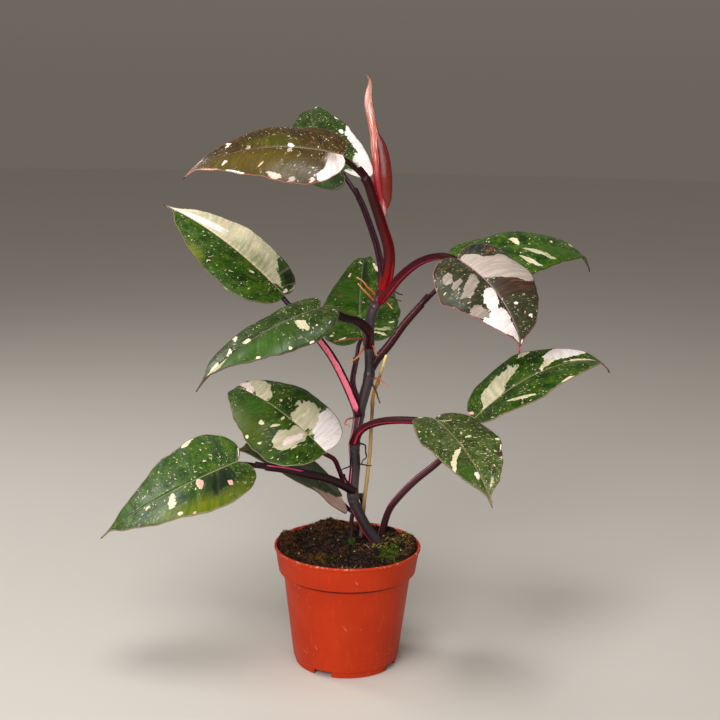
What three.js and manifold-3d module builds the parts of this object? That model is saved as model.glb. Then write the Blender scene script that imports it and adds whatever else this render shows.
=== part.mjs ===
// A philodendron with dark purple stalks and marbled leaves, grown in a round nursery pot.
// Millimetres, +Z up. The origin is the middle of the pot's underside, and the viewer looks along +Y.
import * as THREE from 'three';
import { mergeVertices } from 'three/addons/utils/BufferGeometryUtils.js';
import Module from 'manifold-3d';

const wasm = await Module();
wasm.setup();

// The space between neighbouring pieces
const GAP = 0.3;

// A 12 cm nursery pot: a tapered wall on a notched foot ring, under a wider rim band with a lip. Its floor
// is raised, but for a flat pad in the middle that stands as low as the foot ring.
const POT = {
  height: 99, rimRadius: 60, lipHeight: 2.6, lipWidth: 2, bandTop: 59, bandFoot: 56.2, bandHeight: 21,
  wallTop: 52.5, wallFoot: 43.5, wall: 1.4, bevel: 0.5,
  footRadius: 41.6, footHeight: 4.8, footWidth: 3, floor: 3.2, padRadius: 8,
  segments: 40, notches: 4, notchWidth: 15.5, notchHeight: 3.9, firstNotch: 244,
};

// The soil: its level at the wall, and two heaps given by place, reach and height
const SOIL = {
  level: 93.5, rings: [52, 46, 39, 31, 22, 12], roughness: 1.1,
  heaps: [
    { x: -16, y: 34, across: 17, deep: 15, height: 13 },
    { x: 8, y: 6, across: 24, deep: 20, height: 5.5 },
  ],
};

// The main stem from inside the soil to its top node, and the heights of its leaf nodes
const STEM = {
  route: [
    [30, 6, 72], [28, 6, 88], [23, 6, 100], [16, 6, 110], [9, 6, 123], [4, 6, 135],
    [4, 6, 147], [5, 6, 164], [4, 6, 181], [6, 6, 195], [8, 6, 209], [12, 6, 226],
    [15, 6, 240], [15, 6, 256], [14, 6, 268], [16, 6, 290], [21, 6, 301], [24, 5, 310],
  ],
  footRadius: 4.6, topRadius: 3.9, sides: 10, stations: 36,
  nodeSwell: 0.6, nodeReach: 3, nodes: [143, 184, 208, 240, 266, 300],
};

// Short aerial roots that stand out from the stem's nodes, each from inside the stem to its free tip
const ROOTS = [
  { route: [[21, 6, 302], [12, 1, 312], [4, -6, 320]], thick: 2.0 },
  { route: [[20, 5, 298], [11, -1, 308], [5, -6, 315]], thick: 2.0 },
  { route: [[25, 8, 303], [33, 9, 308], [40, 9, 305]], thick: 1.8 },
  { route: [[24, 8, 299], [32, 9, 303], [39, 9, 300]], thick: 1.8 },
  { route: [[22, 8, 298], [28, 6, 299], [32, 4, 295]], thick: 1.9 },
  { route: [[14, 6, 270], [-2, -1, 270], [-13, -8, 269]], thick: 1.8 },
  { route: [[14, 5, 267], [7, -2, 258], [1, -5, 253], [-3, -8, 253]], thick: 1.9 },
  { route: [[14, 5, 268], [18, -1, 264], [21, -5, 258]], thick: 1.7 },
  { route: [[15, 6, 239], [21, 0, 227], [24, -3, 219]], thick: 2.0 },
  { route: [[15, 5, 238], [23, -4, 239], [30, -8, 234]], thick: 1.7 },
  { route: [[7, 5, 206], [-2, 0, 204], [-4, -3, 201], [0, -4, 199]], thick: 1.6 },
  { route: [[5, 6, 184], [13, 3, 182], [14, 3, 172], [10, 3, 166]], thick: 1.7 },
  { route: [[5, 5, 165], [-2, -1, 164], [-6, -5, 163]], thick: 1.6 },
  { route: [[5, 5, 165], [13, -2, 167], [18, -7, 168]], thick: 1.6 },
  { route: [[6, 8, 132], [3, 10, 117], [3, 12, 102], [4, 13, 86]], thick: 4.2 },
];
const ROOT = { sides: 5, sectionsPerPoint: 2, footSwell: 1.1, tipShare: 0.7 };

// The long tan root that climbs from the soil behind the stem and ends in a pale yellow tip
const LONG_ROOT = {
  route: [
    [10, 20, 84], [11, 20, 100], [13, 18, 128], [15, 16, 150], [17, 14, 175], [18, 13, 207], [19, 10, 224],
    [22, 3, 234], [25, -1, 246], [28, -2, 257],
  ],
  footThick: 3.4, tipThick: 2.2, endTaper: 0.7, sides: 8, stations: 22,
};

// Blades: their thickness, the grid over each and how many of its rows cover the lobes, how far forward
// the side veins run as a share of the length and how they bend, and the number of waves along each edge
// and how far those on the left run ahead, in radians
const BLADE = {
  thickness: 0.8, rows: 14, columns: 4, lobeRows: 5, ribSteps: 48, droopBend: 1.2,
  sweep: 0.11, veinBend: 1.3, waves: 2.5, waveLead: 1.3,
};

// The handles of the outline's curves: across as a share of the half width, back in lobe depths, and
// forward as a share of the length
const OUTLINE = {
  notchAcross: 0.2, notchBack: 1.75, lobeBack: 1.3, shoulderForward: 0.36, tipAcross: 0.05, tipForward: 0.93,
};

// Stalks: where their sections stand in the winged length and in the neck, the groove and the ridges
// beside it as shares of the radius, and how far the neck runs on under the blade
const STALK = {
  sides: 8, wingSections: [0, 0.1, 0.22, 0.36, 0.5, 0.64, 0.8, 1], neckSections: [0.03, 0.35, 0.65, 0.85, 1],
  wingTaper: 0.45, depth: 0.92, groove: 0.5, grooveSharpness: 6, ridge: 0.12, underBlade: 7, endTaper: 0.55,
};

// Each leaf has its blade's base, the rib's heading, rise, droop and sway by the tip, the blade's roll about
// the rib, the fold of its halves and the curl that the edge loses, its length and greatest width, the depth
// of its basal lobes and the place of its widest point as shares of the length, and its stalk's route,
// widths at the foot and the tip, and the share of the stalk that its wings reach.
const LEAVES = {
  low_left: {
    base: [-88, -35, 177], heading: 205, rise: -18, droop: 24, sway: -38, roll: 25, fold: 2, curl: -5,
    length: 125, width: 84, lobe: 0.07, widest: 0.24, wave: 1.6,
    stalk: [[4, 5, 143], [-6, 0, 150], [-18, -4, 156], [-34, -10, 161], [-50, -16, 166], [-66, -24, 170]],
    thick: [8.6, 4.2], wing: 0.72,
  },
  low_back: {
    base: [-8, 49, 126], heading: 205, rise: 43, droop: 33, sway: 21, roll: 19, fold: -11, curl: -22,
    length: 118, width: 82, lobe: 0.08, widest: 0.42, wave: 1.0,
    stalk: [[5, 6, 138], [10, 20, 134], [12, 36, 121], [5, 49, 110]], thick: [5.4, 3.6], wing: 0.5,
  },
  lower_left: {
    base: [-19, -20, 183], heading: 156, rise: 39, droop: 51, sway: -36, roll: 23, fold: 9, curl: 43,
    length: 128, width: 82, lobe: 0.02, widest: 0.28, wave: 1.2,
    stalk: [[3, 6, 143], [-4, -1, 153], [-8, -9, 165], [-12, -15, 175]], thick: [5.6, 4.0], wing: 0.3,
  },
  lower_right: {
    base: [67, -30, 213], heading: 296, rise: -9, droop: 28, sway: -9, roll: -2, fold: 10, curl: 8,
    length: 111, width: 62, lobe: 0.05, widest: 0.38, wave: 1.4,
    stalk: [[4, 5, 183], [8, -2, 195], [14, -7, 201], [24, -13, 206], [37, -19, 209], [51, -24, 210]],
    thick: [8.0, 4.2], wing: 0.78,
  },
  right: {
    base: [103, 20, 203], heading: 7, rise: 45, droop: 65, sway: 30, roll: -18, fold: 16, curl: 24,
    length: 146, width: 62, lobe: 0.02, widest: 0.36, wave: 1.4,
    stalk: [
      [27, 32, 72], [29, 31, 100], [34, 28, 120], [41, 26, 131], [55, 24, 147], [74, 23, 164], [91, 21, 184],
    ],
    thick: [7.6, 4.2], wing: 0.8,
  },
  upper_left: {
    base: [-54, 5, 304], heading: 165, rise: 43, droop: 29, sway: -21, roll: 21, fold: 2, curl: 20,
    length: 134, width: 75, lobe: 0.02, widest: 0.32, wave: 1.0,
    stalk: [[7, 5, 207], [3, 1, 219], [-7, 0, 241], [-17, 1, 258], [-30, 3, 274], [-44, 4, 289]],
    thick: [8.4, 4.2], wing: 0.8,
  },
  middle_back: {
    base: [8, 54, 264], heading: 96, rise: 29, droop: -11, sway: -16, roll: 11, fold: 11, curl: 24,
    length: 116, width: 69, lobe: 0.1, widest: 0.23, wave: 1.0,
    stalk: [[9, 7, 213], [2, 16, 229], [4, 31, 245], [6, 43, 257]], thick: [5.0, 3.4], wing: 0.5,
  },
  upper_right_back: {
    base: [88, 34, 331], heading: 5, rise: 22, droop: 56, sway: 34, roll: -22, fold: 20, curl: 70,
    length: 134, width: 74, lobe: 0.05, widest: 0.28, wave: 1.6,
    stalk: [[15, 7, 242], [21, 8, 252], [31, 12, 264], [42, 17, 279], [55, 21, 294], [70, 27, 309]],
    thick: [7.6, 4.0], wing: 0.56,
  },
  middle_left: {
    base: [-24, -61, 304], heading: 214, rise: -14, droop: 37, sway: -28, roll: 8, fold: 21, curl: 68,
    length: 114, width: 73, lobe: 0.07, widest: 0.32, wave: 1.0,
    stalk: [[14, 5, 264], [13, -10, 278], [4, -22, 288], [-7, -36, 293], [-16, -48, 299]],
    thick: [8.6, 4.4], wing: 0.66,
  },
  upper_right: {
    base: [80, -39, 340], heading: 322, rise: -22, droop: 55, sway: -2, roll: -18, fold: 22, curl: 55,
    length: 92, width: 88, lobe: 0.05, widest: 0.33, wave: 1.4,
    stalk: [[23, 5, 300], [29, -4, 309], [38, -12, 322], [52, -21, 335], [68, -31, 341]],
    thick: [8.0, 4.4], wing: 0.82,
  },
  top_front: {
    base: [-9, -30, 416], heading: 184, rise: 12, droop: 46, sway: -26, roll: 35, fold: 5, curl: 30,
    length: 131, width: 72, lobe: 0.03, widest: 0.25, wave: 1.2,
    stalk: [[25, 5, 309], [28, 0, 326], [28, -5, 342], [22, -10, 362], [15, -15, 382], [9, -19, 397]],
    thick: [9.6, 4.2], wing: 0.8,
  },
  top_back: {
    base: [-11, 46, 402], heading: 126, rise: 30, droop: 10, sway: -42, roll: 21, fold: 14, curl: 45,
    length: 124, width: 63, lobe: 0.17, widest: 0.26, wave: 1.2,
    stalk: [[23, 6, 306], [23, 14, 322], [20, 20, 338], [14, 26, 356], [4, 35, 379]],
    thick: [5.4, 3.8], wing: 0.7,
  },
};

// The newest leaf, still rolled about its rib, standing in the top stalk's groove
const NEW_LEAF = {
  route: [
    [22, -9, 366], [24, -11, 378], [23, -12, 388], [22, -12, 400], [20, -11, 415],
    [16, -10, 430], [12, -9, 445], [10, -9, 458], [11, -9, 475],
  ],
  halfWidths: [2.0, 2.3, 5.4, 7.8, 6.8, 4.8, 3.3, 2.7, 0.8], depthShare: 0.55, sides: 14, stations: 18,
  lap: 0.16, lapAngle: 1.9,
};

const COLOURS = {
  pot: { color: 0xb8401c, roughness: 0.5 },
  soil: { color: 0x2b1c12, roughness: 0.95 },
  stem: { color: 0x241619, roughness: 0.35 },
  stalk: { color: 0x3a1520, roughness: 0.35 },
  leaf: { color: 0x2c4a1e, roughness: 0.4 },
  newLeaf: { color: 0x96404a, roughness: 0.35 },
  root: { color: 0xb58a4a, roughness: 0.6 },
};

const vector = ([x, y, z]) => new THREE.Vector3(x, y, z);
const radians = THREE.MathUtils.degToRad;
const mix = THREE.MathUtils.lerp;

// A value that runs through a list of stops spread evenly from 0 to 1
function along(stops, t) {
  const place = THREE.MathUtils.clamp(t, 0, 1) * (stops.length - 1);
  const low = Math.min(Math.floor(place), stops.length - 2);
  return mix(stops[low], stops[low + 1], place - low);
}

// A repeatable draw between -1 and 1 from whole numbers
function draw(a, b) {
  const value = Math.sin(a * 127.1 + b * 311.7 + 7.3) * 43758.5453;
  return 2 * (value - Math.floor(value)) - 1;
}

// The geometry with only its places left, like corners merged and flat triangles dropped
function welded(geometry) {
  const bare = geometry.clone();
  bare.deleteAttribute('normal');
  bare.deleteAttribute('uv');
  const merged = mergeVertices(bare, 1e-3);
  const corners = merged.index.array;
  const kept = [];
  for (let i = 0; i < corners.length; i += 3) {
    const [a, b, c] = corners.slice(i, i + 3);
    if (a !== b && b !== c && c !== a) kept.push(a, b, c);
  }
  merged.setIndex(kept);
  return merged;
}

function toSolid(geometry) {
  const shape = welded(geometry);
  return new wasm.Manifold(new wasm.Mesh({
    numProp: 3,
    vertProperties: Float32Array.from(shape.attributes.position.array),
    triVerts: Uint32Array.from(shape.index.array),
  }));
}

function toGeometry(solid) {
  const mesh = solid.getMesh();
  const geometry = new THREE.BufferGeometry();
  geometry.setAttribute('position', new THREE.BufferAttribute(mesh.vertProperties, 3));
  geometry.setIndex(new THREE.BufferAttribute(mesh.triVerts, 1));
  return geometry;
}

// The largest body of a solid, without the scraps that a cut leaves
function largest(solid) {
  return solid.decompose().reduce((best, body) => (body.volume() > best.volume() ? body : best));
}

// A closed tube along a route. section(t, angle) gives the reach to the side and to the upper face, and
// grow makes the tube fatter and longer all round, to cut its neighbours clear of it.
function tube({ route, stations, sides, across, section }, grow = 0) {
  const curve = new THREE.CatmullRomCurve3(route.map(vector), false, 'centripetal');
  const places = typeof stations === 'number'
    ? Array.from({ length: stations + 1 }, (_, i) => i / stations) : stations;
  const geometry = new THREE.CylinderGeometry(1, 1, 1, sides, places.length - 1);
  const position = geometry.attributes.position;
  for (let i = 0; i < position.count; i++) {
    const t = places[Math.round((position.getY(i) + 0.5) * (places.length - 1))];
    const inside = Math.hypot(position.getX(i), position.getZ(i));
    const angle = Math.atan2(position.getZ(i), position.getX(i));
    const [side, top] = section(t, angle);
    const forward = curve.getTangentAt(t);
    const sideways = across.clone().addScaledVector(forward, -across.dot(forward)).normalize();
    const up = new THREE.Vector3().crossVectors(sideways, forward);
    const end = t === 0 ? -grow : t === 1 ? grow : 0;
    const point = curve.getPointAt(t)
      .addScaledVector(forward, end)
      .addScaledVector(sideways, inside * (side + grow * Math.cos(angle)))
      .addScaledVector(up, inside * (top + grow * Math.sin(angle)));
    position.setXYZ(i, point.x, point.y, point.z);
  }
  return toSolid(geometry);
}

// A closed blade from an open sheet: the sheet, its copy one thickness below, and a wall round the edge
function thicken(sheet, thickness) {
  const upper = welded(sheet);
  upper.computeVertexNormals();
  const { position, normal } = upper.attributes;
  const corners = upper.index.array;
  const places = [...position.array];
  for (let i = 0; i < position.count; i++) {
    places.push(
      position.getX(i) - thickness * normal.getX(i),
      position.getY(i) - thickness * normal.getY(i),
      position.getZ(i) - thickness * normal.getZ(i),
    );
  }
  const below = (corner) => corner + position.count;
  const triangles = [];
  const edges = new Set();
  for (let i = 0; i < corners.length; i += 3) {
    const [a, b, c] = corners.slice(i, i + 3);
    triangles.push(a, b, c, below(c), below(b), below(a));
    [[a, b], [b, c], [c, a]].forEach(([from, to]) => edges.add(`${from} ${to}`));
  }
  for (const edge of edges) {
    const [from, to] = edge.split(' ').map(Number);
    if (edges.has(`${to} ${from}`)) continue;
    triangles.push(to, from, below(from), to, below(from), below(to));
  }
  const blade = new THREE.BufferGeometry();
  blade.setAttribute('position', new THREE.Float32BufferAttribute(places, 3));
  blade.setIndex(triangles);
  return blade;
}

// The rib of a leaf: a list of places, each with its forward, right and upper directions
function ribOf(leaf) {
  const frames = [];
  const place = vector(leaf.base);
  let last = null;
  for (let i = 0; i <= BLADE.ribSteps; i++) {
    const t = i / BLADE.ribSteps;
    const pitch = radians(leaf.rise - leaf.droop * t ** BLADE.droopBend);
    const heading = radians(leaf.heading + leaf.sway * t);
    const forward = vector([
      Math.cos(pitch) * Math.cos(heading), Math.cos(pitch) * Math.sin(heading), Math.sin(pitch),
    ]);
    const level = vector([Math.sin(heading), -Math.cos(heading), 0]);
    const right = level.clone().applyAxisAngle(forward, -radians(leaf.roll));
    const upper = new THREE.Vector3().crossVectors(right, forward);
    if (last) place.addScaledVector(last.clone().add(forward), leaf.length / BLADE.ribSteps / 2);
    frames.push({ place: place.clone(), forward, right, upper });
    last = forward;
  }
  return frames;
}

// The rib's frame at a share of its length
function ribAt(frames, share) {
  const place = THREE.MathUtils.clamp(share, 0, 1) * (frames.length - 1);
  const low = Math.min(Math.floor(place), frames.length - 2);
  const blend = (key) => frames[low][key].clone().lerp(frames[low + 1][key], place - low);
  return { place: blend('place'), forward: blend('forward'), right: blend('right'), upper: blend('upper') };
}

// Half of the blade's outline, from the notch between the lobes round to the drip tip
function halfOutline({ length, width, lobe, widest }) {
  const half = width / 2;
  const point = (across, share) => new THREE.Vector2(across * half, share * length);
  const notchHandle = point(OUTLINE.notchAcross, -OUTLINE.notchBack * lobe);
  const lobeHandle = point(1, -OUTLINE.lobeBack * lobe);
  const shoulder = point(1, mix(widest, 1, OUTLINE.shoulderForward));
  const tipHandle = point(OUTLINE.tipAcross, OUTLINE.tipForward);
  const lobeEdge = new THREE.CubicBezierCurve(point(0, 0), notchHandle, lobeHandle, point(1, widest));
  const tipEdge = new THREE.CubicBezierCurve(point(1, widest), shoulder, tipHandle, point(0, 1));
  return { lobeEdge, tipEdge };
}

// The open upper face of a blade. Its rows run out from the rib to the edge as the side veins do.
function bladeSheet(leaf) {
  const frames = ribOf(leaf);
  const { lobeEdge, tipEdge } = halfOutline(leaf);
  const split = BLADE.lobeRows / BLADE.rows;
  const sheet = new THREE.PlaneGeometry(2, 1, 2 * BLADE.columns, BLADE.rows);
  const position = sheet.attributes.position;
  for (let i = 0; i < position.count; i++) {
    const side = Math.sign(position.getX(i));
    const out = Math.abs(position.getX(i));
    const row = position.getY(i) + 0.5;
    const inLobe = row < split;
    const share = inLobe ? row / split : (row - split) / (1 - split);
    const edge = (inLobe ? lobeEdge : tipEdge).getPoint(share);
    const start = inLobe
      ? (leaf.widest - BLADE.sweep) * leaf.length * share ** 2
      : edge.y - BLADE.sweep * leaf.length * (1 - share);
    const across = edge.x * out;
    const forward = mix(start, edge.y, out ** BLADE.veinBend);
    const frame = ribAt(frames, forward / leaf.length);
    const reach = across / (leaf.width / 2);
    const tilt = radians(leaf.fold - 0.5 * leaf.curl * reach);
    const turn = 2 * Math.PI * BLADE.waves * (forward / leaf.length) + (side < 0 ? BLADE.waveLead : 0);
    const lift = across * Math.sin(tilt) + leaf.wave * reach ** 2 * Math.sin(turn);
    const point = frame.place
      .addScaledVector(frame.forward, Math.min(forward, 0))
      .addScaledVector(frame.right, side * across * Math.cos(tilt))
      .addScaledVector(frame.upper, lift);
    position.setXYZ(i, point.x, point.y, point.z);
  }
  return sheet;
}

// A leaf stalk: grooved above between two wings that end short of the blade, then a thin neck that runs on
// under the blade's base. It starts inside the stem, whose neighbours cut it clear.
function stalkShape(leaf) {
  const [foot, tip] = leaf.thick.map((thick) => thick / 2);
  const wing = leaf.wing;
  const neck = ribOf(leaf)[0];
  const sag = 2 * tip * Math.max(0, Math.sin(radians(-leaf.fold)));
  const under = neck.place.clone().addScaledVector(neck.upper, -(BLADE.thickness + GAP + tip + sag));
  const end = under.clone().addScaledVector(neck.forward, STALK.underBlade);
  const level = vector(leaf.base).sub(vector(leaf.stalk[0]));
  const wingEnd = mix(foot, tip, STALK.wingTaper);
  const section = (t, angle) => {
    const [right, top] = [Math.cos(angle), Math.sin(angle)];
    if (t > wing) {
      const radius = tip * (t === 1 ? STALK.endTaper : 1);
      return [radius * right, radius * top * STALK.depth];
    }
    const radius = mix(foot, wingEnd, t / wing);
    const groove = STALK.groove * Math.max(0, top) ** STALK.grooveSharpness;
    const ridge = 2 * STALK.ridge * Math.max(0, top) * Math.abs(right);
    return [radius * right * (1 + ridge), radius * top * (STALK.depth - groove + ridge)];
  };
  return {
    route: [...leaf.stalk, under.toArray(), end.toArray()],
    stations: [
      ...STALK.wingSections.map((share) => share * wing),
      ...STALK.neckSections.map((share) => mix(wing, 1, share)),
    ],
    sides: STALK.sides,
    across: new THREE.Vector3(level.y, -level.x, 0).normalize(),
    section,
  };
}

// A round section's reach to the side and up
const round = (radius, angle) => [radius * Math.cos(angle), radius * Math.sin(angle)];

// The stem's round section swells at each node
function stemShape() {
  const low = STEM.route[0][2];
  const high = STEM.route[STEM.route.length - 1][2];
  const section = (t, angle) => {
    const height = mix(low, high, t);
    const swells = STEM.nodes.map((node) => Math.exp(-(((height - node) / STEM.nodeReach) ** 2)));
    const swell = swells.reduce((sum, value) => sum + value, 0);
    return round(mix(STEM.footRadius, STEM.topRadius, t) + STEM.nodeSwell * swell, angle);
  };
  return { ...STEM, across: vector([1, 0, 0]), section };
}

function rootShape({ route, thick }) {
  const section = (t, angle) => round((thick / 2) * mix(ROOT.footSwell, ROOT.tipShare, t), angle);
  const across = vector([0.3, 0.8, 0.5]).normalize();
  return { route, stations: ROOT.sectionsPerPoint * route.length, sides: ROOT.sides, across, section };
}

function longRootShape() {
  const section = (t, angle) => {
    const thick = mix(LONG_ROOT.footThick, LONG_ROOT.tipThick, t ** 2);
    return round((thick / 2) * (t === 1 ? LONG_ROOT.endTaper : 1), angle);
  };
  return { ...LONG_ROOT, across: vector([1, 0, 0]), section };
}

// The rolled leaf is a slim spindle, fuller at the back on the right, where one half laps over the other
function newLeafShape() {
  const section = (t, angle) => {
    const lap = angle > 0 && angle < NEW_LEAF.lapAngle ? 1 + NEW_LEAF.lap : 1;
    const half = along(NEW_LEAF.halfWidths, t) * lap;
    return [half * Math.cos(angle), half * NEW_LEAF.depthShare * Math.sin(angle)];
  };
  return { ...NEW_LEAF, across: vector([1, 0, 0]), section };
}

const BAND_START = POT.height - POT.bandHeight;
const LEDGE = BAND_START + POT.wall;
const FLOOR_TOP = POT.footHeight + POT.wall;

// Radius of the pot's inside, one wall in from its outside, at a height
function potInside(height) {
  if (height <= BAND_START) {
    const share = (height - POT.footHeight) / (BAND_START - POT.footHeight);
    return mix(POT.wallFoot, POT.wallTop, share) - POT.wall;
  }
  return mix(POT.bandFoot, POT.bandTop, (height - BAND_START) / POT.bandHeight) - POT.wall;
}

function turned(profile) {
  const points = profile.map(([radius, height]) => new THREE.Vector2(radius, height));
  return new THREE.LatheGeometry(points, POT.segments).rotateX(Math.PI / 2);
}

function potSolid() {
  const lipStart = POT.height - POT.lipHeight;
  const footInside = POT.footRadius - POT.footWidth;
  let pot = toSolid(turned([
    [0, 0], [POT.padRadius, 0], [POT.padRadius + POT.wall, POT.floor],
    [footInside - POT.wall, POT.floor], [footInside, 0],
    [POT.footRadius, 0], [POT.footRadius, POT.footHeight], [POT.wallFoot, POT.footHeight + POT.bevel],
    [POT.wallTop, BAND_START], [POT.bandFoot, BAND_START + POT.bevel],
    [POT.bandTop, lipStart], [POT.rimRadius, lipStart + POT.bevel], [POT.rimRadius, POT.height - POT.bevel],
    [POT.rimRadius - POT.bevel, POT.height], [POT.rimRadius - POT.lipWidth, POT.height],
    [potInside(lipStart), lipStart], [potInside(LEDGE), LEDGE],
    [potInside(BAND_START), BAND_START], [potInside(FLOOR_TOP), FLOOR_TOP], [0, FLOOR_TOP],
  ]));
  for (let i = 0; i < POT.notches; i++) {
    const angle = radians(POT.firstNotch + (360 / POT.notches) * i);
    const notch = new THREE.BoxGeometry(3 * POT.footWidth, POT.notchWidth, 2 * POT.notchHeight)
      .translate(POT.footRadius, 0, 0).rotateZ(angle);
    pot = pot.subtract(toSolid(notch));
  }
  return pot;
}

// Height of the soil at a place: level, heaps and seeded lumps
function soilHeight(x, y, ring, spoke) {
  const heaped = SOIL.heaps.reduce((sum, heap) => {
    const far = ((x - heap.x) / heap.across) ** 2 + ((y - heap.y) / heap.deep) ** 2;
    return sum + heap.height * Math.exp(-far / 2);
  }, 0);
  return SOIL.level + heaped + SOIL.roughness * draw(ring, spoke);
}

function soilSolid() {
  const soil = turned([
    [0, FLOOR_TOP + GAP], [potInside(FLOOR_TOP) - GAP, FLOOR_TOP + GAP],
    [potInside(BAND_START) - GAP, BAND_START], [potInside(BAND_START) - GAP, LEDGE + GAP],
    [potInside(LEDGE) - GAP, LEDGE + GAP], [potInside(SOIL.level) - GAP, SOIL.level],
    ...SOIL.rings.map((radius) => [radius, SOIL.level]), [0, SOIL.level],
  ]);
  const position = soil.attributes.position;
  for (let i = 0; i < position.count; i++) {
    const [x, y, z] = [position.getX(i), position.getY(i), position.getZ(i)];
    const ring = Math.round(Math.hypot(x, y));
    if (z < SOIL.level - GAP || ring > SOIL.rings[0]) continue;
    const turns = Math.atan2(y, x) / (2 * Math.PI) + 1;
    const spoke = ring === 0 ? 0 : Math.round(turns * POT.segments) % POT.segments;
    position.setZ(i, soilHeight(x, y, ring, spoke));
  }
  return toSolid(soil);
}

const plant = new THREE.Group();

function addPiece(name, geometry, { color, roughness }) {
  const mesh = new THREE.Mesh(geometry, new THREE.MeshStandardMaterial({ color, roughness, metalness: 0 }));
  mesh.name = name;
  mesh.geometry.computeVertexNormals();
  plant.add(mesh);
}

// Grown copies of the pieces already placed, which cut each later piece clear
const placed = [];

function meets(a, b) {
  const [p, q] = [a.boundingBox(), b.boundingBox()];
  return [0, 1, 2].every((i) => p.min[i] < q.max[i] && q.min[i] < p.max[i]);
}

function clearOf(solid, neighbours) {
  const near = neighbours.filter((other) => meets(solid, other));
  return near.reduce((left, other) => left.subtract(other), solid);
}

const stem = stemShape();
placed.push(tube(stem, GAP));

// Thick stalks come first, so that they clasp the node and the thin ones stand beside them
const order = Object.keys(LEAVES).sort((a, b) => LEAVES[b].thick[0] - LEAVES[a].thick[0]);
for (const name of order) {
  const shape = stalkShape(LEAVES[name]);
  const stalk = largest(clearOf(tube(shape), placed));
  placed.push(tube(shape, GAP));
  addPiece(`stalk_${name}`, toGeometry(stalk), COLOURS.stalk);
}

const newLeaf = newLeafShape();
addPiece('new_leaf', toGeometry(largest(clearOf(tube(newLeaf), placed))), COLOURS.newLeaf);
placed.push(tube(newLeaf, GAP));

const longRoot = longRootShape();
addPiece('long_root', toGeometry(largest(clearOf(tube(longRoot), placed))), COLOURS.root);
placed.push(tube(longRoot, GAP));

// The short roots keep clear of the stalks and are joined to the stem
const roots = ROOTS.map(rootShape);
const rooted = roots.reduce((whole, root) => whole.add(clearOf(tube(root), placed.slice(1))), tube(stem));
addPiece('main_stem', toGeometry(largest(rooted)), COLOURS.stem);

for (const [name, leaf] of Object.entries(LEAVES)) {
  addPiece(`leaf_${name}`, thicken(bladeSheet(leaf), BLADE.thickness), COLOURS.leaf);
}

// The stalks, stems and roots stand in plain holes in the soil
const standing = [...placed, ...roots.map((root) => tube(root, GAP))];
addPiece('soil', toGeometry(largest(clearOf(soilSolid(), standing))), COLOURS.soil);
addPiece('pot', toGeometry(potSolid()), COLOURS.pot);

export default plant;
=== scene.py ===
"""Dresses a packed potted philodendron: marbled blades with their veins, grooved stalks with pink stripes,
the stem and its roots, the rolled new leaf, the potting mix with its moss, and the nursery pot."""

import math
import random

import bmesh
import bpy
import numpy as np
from bpy.props import FloatProperty, FloatVectorProperty, IntProperty, PointerProperty
from mathutils import Matrix, Vector, noise


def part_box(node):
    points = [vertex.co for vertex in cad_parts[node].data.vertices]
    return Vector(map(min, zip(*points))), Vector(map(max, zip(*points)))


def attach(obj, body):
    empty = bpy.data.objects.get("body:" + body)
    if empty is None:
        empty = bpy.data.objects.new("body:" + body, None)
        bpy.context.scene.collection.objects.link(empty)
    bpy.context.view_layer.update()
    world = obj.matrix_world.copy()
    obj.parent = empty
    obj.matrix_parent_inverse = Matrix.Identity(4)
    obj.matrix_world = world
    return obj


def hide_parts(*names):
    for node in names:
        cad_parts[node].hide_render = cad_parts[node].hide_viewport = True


bl_info = {
    "name": "Potted Philodendron",
    "version": (1, 0, 0),
    "blender": (4, 5, 0),
    "location": "View3D > Sidebar > Philodendron",
    "description": "Builds a marbled philodendron in a round nursery pot",
    "category": "Add Mesh",
}

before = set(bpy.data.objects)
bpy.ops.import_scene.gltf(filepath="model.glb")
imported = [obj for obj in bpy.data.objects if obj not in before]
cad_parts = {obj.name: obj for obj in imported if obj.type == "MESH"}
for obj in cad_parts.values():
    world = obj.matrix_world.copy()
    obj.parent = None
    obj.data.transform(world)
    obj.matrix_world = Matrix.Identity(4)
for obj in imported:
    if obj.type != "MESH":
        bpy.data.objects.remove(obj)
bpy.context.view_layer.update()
POT_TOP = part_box("pot")[1]

MM = 0.001
TURN = 2 * math.pi

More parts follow.
